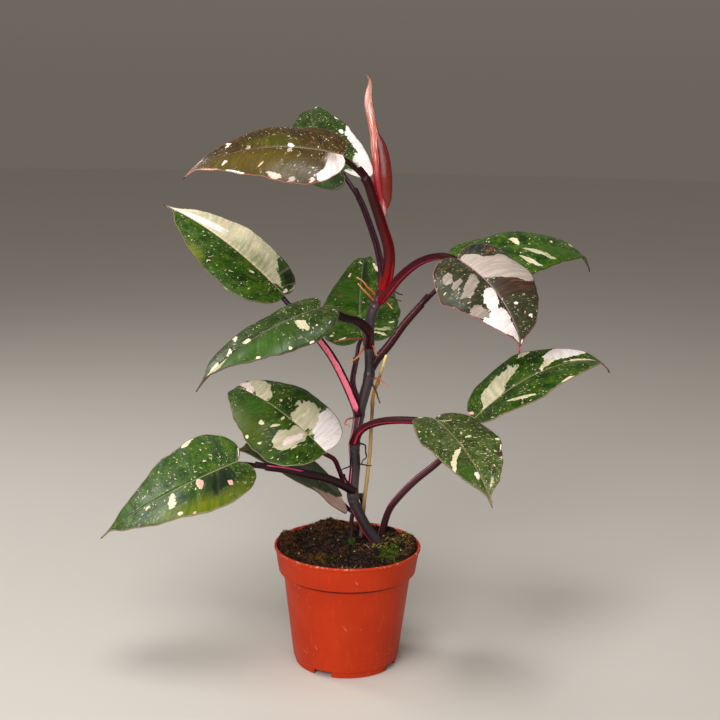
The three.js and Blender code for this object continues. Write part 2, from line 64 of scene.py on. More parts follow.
# The blades: base, heading, rise, droop and sway of the rib, roll, fold and curl in degrees, length and
# greatest width, lobe depth and widest place as shares of the length, edge waves, and the stalk's route,
# widths at foot and tip, and winged share. The same values shape the solids.
LEAVES = {
    "low_left": dict(
        base=(-88, -35, 177), heading=205, rise=-18, droop=24, sway=-38, roll=25, fold=2, curl=-5,
        length=125, width=84, lobe=0.07, widest=0.24, wave=1.6, thick=(8.6, 4.2), wing=0.72,
        stalk=[(4, 5, 143), (-6, 0, 150), (-18, -4, 156), (-34, -10, 161), (-50, -16, 166), (-66, -24, 170)],
    ),
    "low_back": dict(
        base=(-8, 49, 126), heading=205, rise=43, droop=33, sway=21, roll=19, fold=-11, curl=-22,
        length=118, width=82, lobe=0.08, widest=0.42, wave=1.0, thick=(5.4, 3.6), wing=0.5,
        stalk=[(5, 6, 138), (10, 20, 134), (12, 36, 121), (5, 49, 110)],
    ),
    "lower_left": dict(
        base=(-19, -20, 183), heading=156, rise=39, droop=51, sway=-36, roll=23, fold=9, curl=43,
        length=128, width=82, lobe=0.02, widest=0.28, wave=1.2, thick=(5.6, 4.0), wing=0.3,
        stalk=[(3, 6, 143), (-4, -1, 153), (-8, -9, 165), (-12, -15, 175)],
    ),
    "lower_right": dict(
        base=(67, -30, 213), heading=296, rise=-9, droop=28, sway=-9, roll=-2, fold=10, curl=8,
        length=111, width=62, lobe=0.05, widest=0.38, wave=1.4, thick=(8.0, 4.2), wing=0.78,
        stalk=[(4, 5, 183), (8, -2, 195), (14, -7, 201), (24, -13, 206), (37, -19, 209), (51, -24, 210)],
    ),
    "right": dict(
        base=(103, 20, 203), heading=7, rise=45, droop=65, sway=30, roll=-18, fold=16, curl=24,
        length=146, width=62, lobe=0.02, widest=0.36, wave=1.4, thick=(7.6, 4.2), wing=0.8,
        stalk=[
            (27, 32, 72), (29, 31, 100), (34, 28, 120), (41, 26, 131), (55, 24, 147), (74, 23, 164),
            (91, 21, 184),
        ],
    ),
    "upper_left": dict(
        base=(-54, 5, 304), heading=165, rise=43, droop=29, sway=-21, roll=21, fold=2, curl=20,
        length=134, width=75, lobe=0.02, widest=0.32, wave=1.0, thick=(8.4, 4.2), wing=0.8,
        stalk=[(7, 5, 207), (3, 1, 219), (-7, 0, 241), (-17, 1, 258), (-30, 3, 274), (-44, 4, 289)],
    ),
    "middle_back": dict(
        base=(8, 54, 264), heading=96, rise=29, droop=-11, sway=-16, roll=11, fold=11, curl=24,
        length=116, width=69, lobe=0.1, widest=0.23, wave=1.0, thick=(5.0, 3.4), wing=0.5,
        stalk=[(9, 7, 213), (2, 16, 229), (4, 31, 245), (6, 43, 257)],
    ),
    "upper_right_back": dict(
        base=(88, 34, 331), heading=5, rise=22, droop=56, sway=34, roll=-22, fold=20, curl=70,
        length=134, width=74, lobe=0.05, widest=0.28, wave=1.6, thick=(7.6, 4.0), wing=0.56,
        stalk=[(15, 7, 242), (21, 8, 252), (31, 12, 264), (42, 17, 279), (55, 21, 294), (70, 27, 309)],
    ),
    "middle_left": dict(
        base=(-24, -61, 304), heading=214, rise=-14, droop=37, sway=-28, roll=8, fold=21, curl=68,
        length=114, width=73, lobe=0.07, widest=0.32, wave=1.0, thick=(8.6, 4.4), wing=0.8,
        stalk=[(14, 5, 264), (13, -10, 278), (4, -22, 288), (-7, -36, 293), (-16, -48, 299)],
    ),
    "upper_right": dict(
        base=(80, -39, 340), heading=322, rise=-22, droop=55, sway=-2, roll=-18, fold=22, curl=55,
        length=92, width=88, lobe=0.05, widest=0.33, wave=1.4, thick=(8.0, 4.4), wing=0.82,
        stalk=[(23, 5, 300), (29, -4, 309), (38, -12, 322), (52, -21, 335), (68, -31, 341)],
    ),
    "top_front": dict(
        base=(-9, -30, 416), heading=184, rise=12, droop=46, sway=-26, roll=35, fold=5, curl=30,
        length=131, width=72, lobe=0.03, widest=0.25, wave=1.2, thick=(9.6, 4.2), wing=0.75,
        stalk=[(25, 5, 309), (28, 0, 326), (28, -5, 342), (22, -10, 362), (15, -15, 382), (9, -19, 397)],
    ),
    "top_back": dict(
        base=(-11, 46, 402), heading=126, rise=30, droop=10, sway=-42, roll=21, fold=14, curl=45,
        length=124, width=63, lobe=0.17, widest=0.26, wave=1.2, thick=(5.4, 3.8), wing=0.7,
        stalk=[(23, 6, 306), (23, 14, 322), (20, 20, 338), (14, 26, 356), (4, 35, 379)],
    ),
}

# How much each tip narrows to a drip tip, and how far the last fifth of a blade hooks down, in degrees
TAILS = {
    "low_left": (0.75, 6), "lower_right": (0.7, 10), "right": (0.8, 40), "upper_left": (0.6, 0),
    "upper_right_back": (0.8, 40), "middle_left": (0.8, 10), "upper_right": (0.6, 20), "top_front": (0.55, 10),
    "low_back": (0.3, 0), "middle_back": (0, 95), "top_back": (0, 80), "lower_left": (0, 60),
}

# Greens of the blades: deep, middle, light and grey, as sRGB bytes
TONES = {
    "green": ((18, 42, 4), (44, 76, 8), (78, 102, 14), (78, 94, 46)),
    "dark": ((22, 38, 8), (40, 60, 14), (64, 82, 24), (78, 86, 52)),
    "mossy": ((38, 52, 14), (60, 78, 26), (86, 98, 42), (100, 104, 68)),
    "bronze": ((38, 26, 8), (60, 43, 12), (84, 64, 14), (64, 52, 34)),
    "slate": ((34, 37, 20), (50, 52, 30), (70, 68, 40), (78, 72, 58)),
}

# Marbling colours in pairs, which run together in streaks
PAINTS = {
    "white": ((244, 237, 233), (230, 215, 210)),
    "milk": ((224, 210, 206), (204, 184, 180)),
    "cream": ((230, 218, 184), (206, 194, 152)),
    "blush": ((242, 224, 215), (230, 200, 190)),
    "pink": ((234, 188, 172), (214, 160, 142)),
    "sage": ((148, 150, 108), (184, 180, 140)),
    "pearl": ((184, 177, 142), (210, 202, 172)),
    "ash": ((160, 146, 135), (180, 165, 154)),
    "smoke": ((138, 126, 115), (160, 147, 136)),
    "rose": ((250, 208, 194), (240, 184, 168)),
    "rust": ((116, 70, 44), (70, 46, 30)),
    "umber": ((50, 36, 26), (70, 50, 36)),
    "deep": ((12, 26, 6), (22, 42, 10)),
    "leek": ((42, 76, 10), (58, 90, 16)),
    "lime": ((104, 112, 10), (78, 98, 12)),
    "fresh": ((72, 86, 14), (58, 78, 14)),
    "olive": ((76, 62, 12), (90, 74, 16)),
    "fern": ((62, 60, 10), (80, 76, 14)),
    "gloom": ((34, 36, 34), (50, 54, 46)),
}
PALE_PAINTS = ("white", "milk", "blush", "cream", "pink", "rose", "pearl", "ash", "smoke", "sage")

# The marbling of each blade. A patch is its paint, its centre and half size in vein coordinates (out from
# the rib, right positive, then the row from notch to tip), its lean and how ragged or soft it is.
MARBLING = {
    "low_left": dict(tones="green", flecks=0.22, margin=(140, 120, 86), rib=(150, 136, 90), patches=[
        ("lime", -0.81, 0.42, 0.26, 0.15, 0, 0.5, 0.8), ("deep", -0.3, 0.35, 0.34, 0.06, 0.0, 0.6, 0.5),
        ("deep", -0.25, 0.27, 0.2, 0.03, 0, 0.6, 0.5), ("leek", 0.62, 0.8, 0.4, 0.1, 0, 0.5, 0.7),
        ("cream", 0.96, 0.36, 0.06, 0.026, 0, 0.3, 0.05),
        ("pink", -0.17, 0.437, 0.17, 0.014, 0.05, 0.5, 0.08),
        ("cream", -0.36, 0.548, 0.28, 0.017, 0.03, 0.3, 0.05),
        ("pink", -0.5, 0.304, 0.09, 0.014, 0, 0.2, 0.08), ("cream", -0.88, 0.5, 0.06, 0.01, 0, 0.3, 0.1),
        ("pink", -0.93, 0.445, 0.04, 0.01, 0, 0.3, 0.1), ("white", 0.78, 0.075, 0.18, 0.012, 0.2, 0.2, 0.1),
        ("cream", -0.2, 0.66, 0.1, 0.008, 0, 0.3, 0.2),
    ]),
    "low_back": dict(tones="green", flecks=0.14, margin=(110, 84, 66), rib=(120, 112, 70), patches=[
        ("rose", -0.8, 0.17, 0.46, 0.19, 0, 0.15, 0.04), ("leek", -0.6, 0.55, 0.5, 0.16, 0, 0.5, 0.6),
        ("leek", 0.6, 0.55, 0.4, 0.12, 0, 0.5, 0.6),
    ]),
    "lower_left": dict(tones="green", flecks=0.2, margin=(168, 142, 118), rib=(170, 154, 96), patches=[
        ("fresh", -0.8, 0.53, 0.24, 0.12, 0, 0.6, 0.9), ("leek", -0.3, 0.6, 0.3, 0.05, 0, 0.6, 0.7),
        ("pearl", 0.34, 0.39, 0.4, 0.086, 0.0, 0.45, 0.03), ("cream", 0.36, 0.41, 0.16, 0.008, 0, 0.6, 0.5),
        ("white", 0.6, 0.14, 0.76, 0.215, 0.0, 0.14, 0.03),
        ("pearl", 0.48, 0.685, 0.52, 0.062, 0.13, 0.2, 0.04),
        ("blush", 0.5, 0.785, 0.54, 0.042, 0.14, 0.3, 0.05),
        ("pearl", -0.33, 0.356, 0.37, 0.05, 0.03, 0.15, 0.03),
        ("blush", -0.34, 0.345, 0.24, 0.02, 0.03, 0.3, 0.08), ("cream", -0.38, 0.45, 0.1, 0.01, 0, 0.4, 0.1),
        ("cream", -0.12, 0.478, 0.06, 0.006, 0, 0.3, 0.1), ("cream", -0.55, 0.492, 0.05, 0.008, 0, 0.3, 0.1),
        ("pink", 0.26, 0.546, 0.04, 0.011, 0, 0.3, 0.1), ("cream", -0.83, 0.4, 0.03, 0.008, 0, 0.3, 0.1),
        ("cream", -0.69, 0.246, 0.04, 0.005, 0, 0.3, 0.1), ("cream", -0.93, 0.467, 0.03, 0.008, 0, 0.3, 0.1),
        ("cream", -0.47, 0.3, 0.08, 0.005, 0, 0.3, 0.2),
    ]),
    "lower_right": dict(tones="mossy", flecks=0.34, margin=(120, 100, 78), rib=(146, 132, 88), patches=[
        ("leek", 0.5, 0.68, 0.45, 0.05, 0, 0.8, 1.0), ("umber", -0.9, 0.53, 0.1, 0.014, 0, 0.5, 0.2),
        ("cream", 0.56, 0.555, 0.46, 0.02, 0.16, 0.3, 0.05),
        ("blush", 0.15, 0.703, 0.16, 0.024, 0.06, 0.3, 0.06),
        ("cream", -0.32, 0.384, 0.09, 0.01, 0.1, 0.5, 0.1), ("cream", -0.95, 0.404, 0.06, 0.014, 0, 0.3, 0.1),
        ("cream", 0.94, 0.13, 0.09, 0.026, 0, 0.3, 0.05), ("cream", -0.23, 0.18, 0.2, 0.008, -0.25, 0.5, 0.1),
        ("cream", -0.84, 0.08, 0.14, 0.012, 0, 0.5, 0.1), ("cream", -0.58, 0.78, 0.1, 0.014, 0, 0.4, 0.2),
        ("blush", -0.98, 0.48, 0.03, 0.02, 0, 0.3, 0.1), ("blush", -0.98, 0.555, 0.03, 0.012, 0, 0.3, 0.1),
        ("sage", -0.6, 0.76, 0.08, 0.05, 0, 0.4, 0.4),
    ]),
    "right": dict(tones="green", flecks=0.2, margin=(150, 120, 90), rib=(170, 154, 104), patches=[
        ("pearl", -0.31, 0.295, 0.39, 0.084, -0.13, 0.4, 0.03),
        ("pearl", -0.62, 0.372, 0.16, 0.008, -0.03, 0.4, 0.06),
        ("cream", -0.92, 0.455, 0.12, 0.022, -0.1, 0.4, 0.05),
        ("white", -0.56, 0.605, 0.34, 0.05, -0.12, 0.3, 0.05),
        ("cream", -0.4, 0.575, 0.4, 0.028, -0.14, 0.4, 0.05),
        ("white", -0.76, 0.655, 0.4, 0.09, -0.08, 0.2, 0.04), ("cream", -0.1, 0.74, 0.06, 0.1, 0, 0.6, 0.2),
        ("cream", -0.05, 0.86, 0.1, 0.08, 0, 0.4, 0.2), ("cream", 0.64, 0.325, 0.18, 0.01, 0.15, 0.4, 0.05),
        ("cream", 0.97, 0.51, 0.06, 0.035, 0, 0.3, 0.05), ("pink", -0.75, 0.1, 0.26, 0.02, 0, 0.4, 0.1),
    ]),
    "upper_left": dict(tones="green", flecks=0.16, margin=(120, 96, 78), rib=(196, 146, 134), patches=[
        ("pearl", 0.55, 0.62, 0.78, 0.52, 0, 0.08, 0.03), ("leek", 0.68, 0.225, 0.48, 0.105, 0.1, 0.35, 0.03),
        ("deep", 0.7, 0.22, 0.3, 0.06, 0.1, 0.5, 0.7), ("blush", 0.34, 0.105, 0.22, 0.03, 0.05, 0.3, 0.05),
        ("lime", -0.9, 0.55, 0.14, 0.05, 0, 0.4, 0.7), ("white", 0.28, 0.76, 0.18, 0.17, -0.2, 0.4, 0.2),
        ("cream", 0.8, 0.86, 0.25, 0.1, 0, 0.5, 0.4), ("cream", 0.8, 0.52, 0.3, 0.03, 0, 0.6, 0.9),
        ("cream", 0.45, 0.43, 0.3, 0.02, 0, 0.6, 0.9), ("sage", 0.2, 0.4, 0.2, 0.1, 0, 0.6, 0.9),
        ("pink", 0.68, 0.6, 0.13, 0.008, 0, 0.5, 0.6), ("cream", -0.42, 0.86, 0.1, 0.02, 0, 0.4, 0.2),
        ("lime", -0.97, 0.55, 0.05, 0.04, 0, 0.4, 0.3), ("cream", -0.2, 0.36, 0.04, 0.008, 0, 0.3, 0.2),
    ]),
    "middle_back": dict(tones="green", flecks=0.12, margin=(66, 86, 36), rib=(100, 116, 60), patches=[
        ("deep", 0.1, 0.75, 0.25, 0.12, 0, 0.5, 0.6), ("leek", -0.5, 0.6, 0.4, 0.12, 0, 0.5, 0.6),
        ("cream", -0.28, 0.8, 0.2, 0.01, 0, 0.4, 0.1), ("cream", 0.88, 0.72, 0.1, 0.04, 0, 0.5, 0.1),
        ("pink", -0.62, 0.69, 0.05, 0.016, 0, 0.4, 0.1), ("rust", -0.62, 0.54, 0.1, 0.006, 0, 0.4, 0.4),
        ("rust", -0.75, 0.604, 0.06, 0.006, 0, 0.4, 0.4), ("cream", 0.66, 0.205, 0.26, 0.009, 0, 0.4, 0.08),
        ("cream", 0.82, 0.305, 0.07, 0.006, 0, 0.4, 0.2), ("cream", -0.82, 0.26, 0.06, 0.008, 0, 0.4, 0.1),
        ("cream", -0.7, 0.2, 0.12, 0.007, 0, 0.4, 0.1), ("sage", 0.64, 0.25, 0.26, 0.01, 0, 0.4, 0.3),
    ]),
    "upper_right_back": dict(tones="green", flecks=0.14, margin=(84, 64, 40), rib=(78, 104, 40), patches=[
        ("cream", -0.16, 0.487, 0.14, 0.012, 0.08, 0.4, 0.08),
        ("pearl", 0.57, 0.525, 0.27, 0.017, 0.13, 0.4, 0.05),
        ("pearl", 0.7, 0.46, 0.2, 0.013, 0.13, 0.4, 0.05), ("cream", -0.24, 0.645, 0.08, 0.007, 0, 0.5, 0.2),
        ("cream", -0.72, 0.754, 0.16, 0.008, 0, 0.5, 0.2), ("leek", 0.5, 0.68, 0.4, 0.12, 0, 0.5, 0.6),
        ("umber", 0.3, 0.95, 0.8, 0.05, 0, 0.5, 0.6),
    ]),
    "middle_left": dict(tones="dark", flecks=0.2, margin=(96, 76, 58), rib=(118, 106, 74), patches=[
        ("leek", -0.6, 0.6, 0.4, 0.2, 0, 0.5, 0.8), ("pearl", -0.48, 0.336, 0.2, 0.014, 0.03, 0.35, 0.04),
        ("pearl", -0.44, 0.765, 0.46, 0.06, 0.0, 0.3, 0.06), ("cream", 0.1, 0.8, 0.16, 0.05, 0, 0.3, 0.1),
        ("cream", 0.58, 0.595, 0.16, 0.01, -0.1, 0.4, 0.1),
        ("cream", 0.18, 0.675, 0.14, 0.012, -0.1, 0.5, 0.1), ("cream", 0.8, 0.4, 0.12, 0.006, 0, 0.4, 0.2),
        ("blush", -0.97, 0.338, 0.02, 0.006, 0, 0.2, 0.1), ("cream", -0.93, 0.408, 0.03, 0.008, 0, 0.4, 0.1),
        ("cream", -0.95, 0.546, 0.03, 0.01, 0, 0.4, 0.1), ("cream", 0.06, 0.585, 0.07, 0.014, 0, 0.4, 0.2),
        ("rust", -0.5, 0.2, 0.3, 0.008, 0, 0.5, 0.5),
    ]),
    "upper_right": dict(tones="slate", flecks=0.22, margin=(176, 104, 110), rib=(170, 124, 116), patches=[
        ("gloom", -0.78, 0.17, 0.36, 0.07, 0, 0.4, 0.5), ("rust", -0.74, 0.258, 0.18, 0.007, 0.03, 0.4, 0.8),
        ("umber", -0.53, 0.515, 0.54, 0.065, 0, 0.4, 0.1), ("rust", -0.6, 0.495, 0.18, 0.004, 0, 0.4, 0.7),
        ("rust", -0.7, 0.535, 0.18, 0.004, 0, 0.4, 0.7), ("ash", -0.55, 0.385, 0.6, 0.095, -0.05, 0.1, 0.03),
        ("ash", -0.16, 0.27, 0.24, 0.17, 0.0, 0.1, 0.04), ("rust", 0.66, 0.23, 0.24, 0.005, 0, 0.4, 0.5),
        ("smoke", 0.69, 0.298, 0.12, 0.026, 0, 0.25, 0.05), ("smoke", 0.6, 0.345, 0.12, 0.012, 0, 0.4, 0.06),
        ("smoke", 0.42, 0.408, 0.3, 0.04, 0.1, 0.35, 0.04), ("white", 0.33, 0.55, 0.3, 0.06, 0.15, 0.2, 0.03),
        ("white", 0.6, 0.7, 0.48, 0.1, 0.0, 0.2, 0.03), ("white", 0.45, 0.8, 0.38, 0.075, 0, 0.2, 0.03),
        ("smoke", 0.82, 0.57, 0.16, 0.05, 0, 0.3, 0.05), ("blush", -0.72, 0.7, 0.08, 0.01, 0, 0.4, 0.2),
        ("blush", -0.6, 0.86, 0.12, 0.02, 0, 0.5, 0.2), ("blush", -0.3, 0.62, 0.05, 0.008, 0, 0.4, 0.2),
    ]),
    "top_front": dict(tones="bronze", flecks=0.19, margin=(160, 108, 96), rib=(126, 100, 74), patches=[
        ("fern", 0.24, 0.52, 0.26, 0.09, 0, 0.5, 0.8), ("olive", -0.55, 0.62, 0.5, 0.2, 0, 0.6, 0.9),
        ("milk", -0.56, 0.165, 0.6, 0.112, -0.05, 0.15, 0.03), ("ash", -0.2, 0.215, 0.24, 0.055, 0, 0.2, 0.9),
        ("white", 0.07, 0.467, 0.07, 0.012, 0, 0.3, 0.06), ("ash", -0.1, 0.46, 0.08, 0.01, 0, 0.3, 0.1),
        ("blush", 0.74, 0.68, 0.2, 0.01, 0, 0.4, 0.1), ("blush", -0.6, 0.69, 0.14, 0.01, 0.04, 0.3, 0.08),
        ("pink", -0.9, 0.455, 0.07, 0.024, 0.1, 0.5, 0.1), ("pink", -0.66, 0.534, 0.09, 0.005, 0, 0.4, 0.2),
        ("ash", -0.9, 0.375, 0.07, 0.009, 0, 0.6, 0.3), ("pink", -0.9, 0.308, 0.06, 0.008, 0, 0.5, 0.2),
        ("white", -0.97, 0.62, 0.04, 0.035, 0, 0.3, 0.08), ("pink", 0.88, 0.86, 0.14, 0.05, 0, 0.4, 0.3),
        ("pink", -0.96, 0.8, 0.06, 0.1, 0, 0.5, 0.3), ("ash", 0.1, 0.62, 0.07, 0.008, 0, 0.4, 0.2),
    ]),
    "top_back": dict(tones="dark", flecks=0.16, margin=(110, 104, 84), rib=(90, 104, 56), patches=[
        ("white", 0.98, 0.36, 0.26, 0.13, 0.0, 0.3, 0.03), ("white", 0.84, 0.16, 0.5, 0.14, 0.0, 0.3, 0.03),
        ("white", 0.76, 0.82, 0.16, 0.02, 0, 0.4, 0.08), ("white", 0.7, 0.483, 0.06, 0.014, 0, 0.3, 0.06),
        ("white", 0.97, 0.597, 0.04, 0.018, 0, 0.3, 0.06), ("leek", 0.3, 0.2, 0.3, 0.1, 0, 0.5, 0.3),
        ("leek", -0.7, 0.3, 0.3, 0.1, 0, 0.5, 0.6),
    ]),
}

# Colours along each stalk from foot to tip, then its stripes: the middle of each as a share of the turn
# from the right over the top, its half width, where it starts and ends, and its colour
STALKS = {
    "low_left": dict(colours=((34, 12, 17), (44, 20, 26), (34, 14, 19)), stripes=[
        (0.40, 0.034, 0.42, 0.74, (228, 84, 130)), (0.33, 0.010, 0.05, 0.70, (92, 46, 56))]),
    "low_back": dict(colours=((34, 14, 20), (42, 20, 26), (56, 28, 28)), stripes=[]),
    "lower_left": dict(colours=((44, 16, 24), (50, 12, 18), (60, 16, 24)), stripes=[
        (0.80, 0.026, 0.04, 0.7, (168, 26, 44)), (0.55, 0.02, 0.02, 0.3, (150, 96, 104))]),
    "lower_right": dict(colours=((62, 9, 18), (54, 16, 23), (40, 11, 16)), stripes=[
        (0.94, 0.009, 0.0, 0.80, (206, 30, 66)), (0.90, 0.010, 0.0, 0.25, (220, 60, 90)),
        (0.13, 0.010, 0.2, 0.78, (104, 44, 50))]),
    "right": dict(colours=((66, 36, 40), (62, 30, 33), (52, 16, 21), (34, 8, 13)), stripes=[
        (0.12, 0.013, 0.08, 0.80, (196, 116, 122)), (0.03, 0.010, 0.3, 0.8, (116, 50, 56))]),
    "upper_left": dict(colours=((60, 14, 28), (44, 10, 20), (26, 6, 12)), stripes=[
        (0.51, 0.088, 0.03, 0.80, (255, 124, 148)), (0.62, 0.012, 0.0, 0.4, (150, 40, 66))]),
    "middle_back": dict(colours=((70, 28, 44), (60, 24, 38), (50, 24, 28)), stripes=[]),
    "upper_right_back": dict(colours=((46, 14, 20), (48, 12, 18), (36, 10, 15)), stripes=[
        (0.14, 0.011, 0.0, 0.60, (168, 84, 88)), (0.05, 0.008, 0.1, 0.56, (100, 34, 40))]),
    "middle_left": dict(colours=((60, 4, 11), (24, 3, 7), (18, 3, 6)), stripes=[
        (0.62, 0.010, 0.0, 0.16, (90, 10, 24))]),
    "upper_right": dict(colours=((116, 4, 18), (66, 4, 14), (50, 6, 14), (40, 8, 13)), stripes=[
        (0.875, 0.011, 0.0, 0.86, (206, 20, 60)), (0.15, 0.010, 0.2, 0.82, (116, 20, 34)),
        (0.20, 0.06, 0.0, 0.14, (200, 20, 50))]),
    "top_front": dict(colours=((146, 3, 11), (90, 2, 7), (62, 2, 7), (44, 3, 9), (30, 7, 12)), stripes=[
        (0.50, 0.03, 0.0, 0.20, (196, 14, 26)), (0.80, 0.05, 0.06, 0.8, (40, 2, 8)),
        (0.42, 0.010, 0.2, 0.74, (140, 22, 36))]),
    # top_back: the pale mauve stripe at 0.70 of the turn is a painted highlight
    "top_back": dict(colours=((74, 20, 38), (52, 18, 31), (46, 18, 29), (60, 30, 39)), stripes=[
        (0.95, 0.03, 0.0, 0.45, (160, 20, 80)), (0.70, 0.02, 0.1, 0.9, (116, 92, 108))]),
}

# The stem: its route, its radii at foot and top, its nodes with their swelling, and its colours upwards, with
# painted shade and a painted highlight among them
STEM = dict(
    route=[
        (30, 6, 72), (28, 6, 88), (23, 6, 100), (16, 6, 110), (9, 6, 123), (4, 6, 135), (4, 6, 147),
        (5, 6, 164), (4, 6, 181), (6, 6, 195), (8, 6, 209), (12, 6, 226), (15, 6, 240), (15, 6, 256),
        (14, 6, 268), (16, 6, 290), (21, 6, 301), (24, 5, 310),
    ],
    foot=4.6, top=3.9, nodes=(143, 184, 208, 240, 266, 300), swell=0.6, reach=3,
    # Colours upwards, from the foot at 72 mm to the top at 310 mm: the near-black stop at about 171 mm is
    # painted shade and the lighter one at about 270 mm a painted highlight
    colours=(
        (54, 42, 46), (50, 41, 45), (42, 33, 37), (46, 35, 39), (56, 44, 49), (24, 15, 19), (42, 33, 38),
        (54, 44, 48), (56, 49, 54), (32, 23, 27), (64, 52, 60), (60, 44, 53), (66, 12, 25),
    ),
)

# Pink lines on the stem, as on the stalks
STEM_LINES = [
    (0.39, 0.012, 0.06, 0.27, (214, 64, 96)), (0.365, 0.013, 0.30, 0.42, (232, 110, 140)),
    (0.40, 0.013, 0.41, 0.60, (226, 124, 146)), (0.235, 0.010, 0.46, 0.60, (206, 84, 112)),
    (0.30, 0.008, 0.60, 0.75, (96, 44, 60)),
]

# Aerial roots: kind, thickness and route
ROOTS = [
    ("orange", 2.0, [(21, 6, 302), (12, 1, 312), (4, -6, 320)]),
    ("orange", 2.0, [(20, 5, 298), (11, -1, 308), (5, -6, 315)]),
    ("dark", 1.8, [(25, 8, 303), (33, 9, 308), (40, 9, 305)]),
    ("dark", 1.8, [(24, 8, 299), (32, 9, 303), (39, 9, 300)]),
    ("orange", 1.9, [(22, 8, 298), (28, 6, 299), (32, 4, 295)]),
    ("red", 1.8, [(14, 6, 270), (-2, -1, 270), (-13, -8, 269)]),
    ("orange", 1.9, [(14, 5, 267), (7, -2, 258), (1, -5, 253), (-3, -8, 253)]),
    ("red", 1.7, [(14, 5, 268), (18, -1, 264), (21, -5, 258)]),
    ("dark", 2.0, [(15, 6, 239), (21, 0, 227), (24, -3, 219)]),
    ("red", 1.7, [(15, 5, 238), (23, -4, 239), (30, -8, 234)]),
    ("red", 1.6, [(7, 5, 206), (-2, 0, 204), (-4, -3, 201), (0, -4, 199)]),
    ("dark", 1.7, [(5, 6, 184), (13, 3, 182), (14, 3, 172), (10, 3, 166)]),
    ("dark", 1.6, [(5, 5, 165), (-2, -1, 164), (-6, -5, 163)]),
    ("dark", 1.6, [(5, 5, 165), (13, -2, 167), (18, -7, 168)]),
    ("dark", 4.2, [(6, 8, 132), (3, 10, 117), (3, 12, 102), (4, 13, 86)]),
]
ROOT_COLOURS = {
    "orange": ((120, 50, 28), (196, 100, 52), (226, 160, 100)),
    "red": ((84, 28, 24), (160, 70, 46), (190, 104, 72)),
    "dark": ((34, 16, 18), (50, 26, 24), (62, 34, 28)),
}

# The long root: its route, its width at foot and tip, its knots and its colours from foot to tip
LONG_ROOT = dict(
    route=[
        (10, 20, 84), (11, 20, 100), (13, 18, 128), (15, 16, 150), (17, 14, 175), (18, 13, 207),
        (19, 10, 224), (22, 3, 234), (25, -1, 246), (28, -2, 257),
    ],
    foot=3.4, tip=2.2, knots=((0.15, 1.1), (0.74, 0.45), (0.86, 0.3)),
    colours=(
        (66, 44, 26), (96, 70, 42), (140, 108, 66), (176, 144, 94), (182, 150, 98), (176, 142, 90),
        (164, 128, 78), (96, 60, 24), (184, 128, 42), (140, 88, 28), (246, 218, 134),
    ),
)

# The rolled leaf: its route, its half widths from foot to tip, and the radius and flatness of its roll
NEW_LEAF = dict(
    route=[
        (22, -9, 366), (24, -11, 378), (23, -12, 388), (22, -12, 400), (20, -11, 415), (16, -10, 430),
        (12, -9, 445), (10, -9, 458), (11, -9, 471), (8.6, -9, 475),
    ],
    halves=(1.6, 4.7, 6.6, 7.2, 6.95, 6.0, 3.6, 3.0, 3.15, 2.0, 0.5), roll=3.0, depth=0.62,
)

# The pot's outer radii and heights, its wall, and its foot with four notches
POT = dict(
    height=99, rim=60, lip_height=2.6, lip_width=2, band_top=59, band_foot=56.2, band_height=21,
    wall_top=52.5, wall_foot=43.5, wall=1.4, bevel=0.5, foot=41.6, foot_height=4.8, foot_width=3,
    floor=3.2, pad=8, notches=4, notch_width=15.5, notch_height=3.9, first_notch=244,
)

# The potting mix: its level and radius, its deepest point, and its heaps, each with its centre, its spread
# across and deep, and its height
SOIL = dict(
    level=93.5, radius=56.5, base=7,
    heaps=(
        (-16, 34, 17, 15, 13), (8, 6, 24, 20, 5.5), (-22, -27, 7, 7, 3.5), (-53, 7, 8, 18, 11),
        (37, 4, 12, 16, 2.5), (53, 10, 8, 20, 9), (30, 45, 18, 9, 7),
    ),
)


def paint(red, green, blue):
    """A colour from sRGB bytes, in the linear values that Blender works with"""
    def linear(byte):
        share = byte / 255
        return share / 12.92 if share <= 0.04045 else ((share + 0.055) / 1.055) ** 2.4
    return (linear(red), linear(green), linear(blue), 1)


def mix(a, b, t):
    """What lies between a and b, at a share t of the way"""
    return a + (b - a) * t


def along(stops, t):
    """A value that runs through evenly spaced stops"""
    place = min(max(t, 0), 1) * (len(stops) - 1)
    low = min(int(place), len(stops) - 2)
    return mix(stops[low], stops[low + 1], place - low)


# Shapes

class Route:
    """A smooth line through points, in mm, walked by its own length"""

    STEPS = 200

    def __init__(self, points):
        p = np.array(points, float)
        self.points = np.vstack([2 * p[0] - p[1], p, 2 * p[-1] - p[-2]])
        samples = np.array([self.raw(i / self.STEPS) for i in range(self.STEPS + 1)])
        steps = np.linalg.norm(np.diff(samples, axis=0), axis=1)
        self.lengths = np.concatenate([[0], np.cumsum(steps)])

    def raw(self, u):
        spans = len(self.points) - 3
        place = min(max(u, 0) * spans, spans - 1e-9)
        p0, p1, p2, p3 = self.points[int(place):int(place) + 4]
        d0, d1, d2 = (max(np.linalg.norm(b - a) ** 0.5, 1e-4) for a, b in ((p0, p1), (p1, p2), (p2, p3)))
        leave = d1 * ((p1 - p0) / d0 - (p2 - p0) / (d0 + d1) + (p2 - p1) / d1)
        arrive = d1 * ((p2 - p1) / d1 - (p3 - p1) / (d1 + d2) + (p3 - p2) / d2)
        w = place - int(place)
        return (p1 + leave * w + (3 * (p2 - p1) - 2 * leave - arrive) * w ** 2
                + (2 * (p1 - p2) + leave + arrive) * w ** 3)

    def at(self, t):
        """The place and the direction at a share of the length"""
        u = np.interp(t * self.lengths[-1], self.lengths, np.linspace(0, 1, self.STEPS + 1))
        ahead = self.raw(min(u + 1e-3, 1)) - self.raw(max(u - 1e-3, 0))
        return Vector(self.raw(u)), Vector(ahead).normalized()


FLAT_START, FLAT_END = [(0, 0, 0)], [(1, 0, 0)]
ROUND_END = [(1, math.cos(math.radians(a)), math.sin(math.radians(a))) for a in (18, 40, 65, 90)]


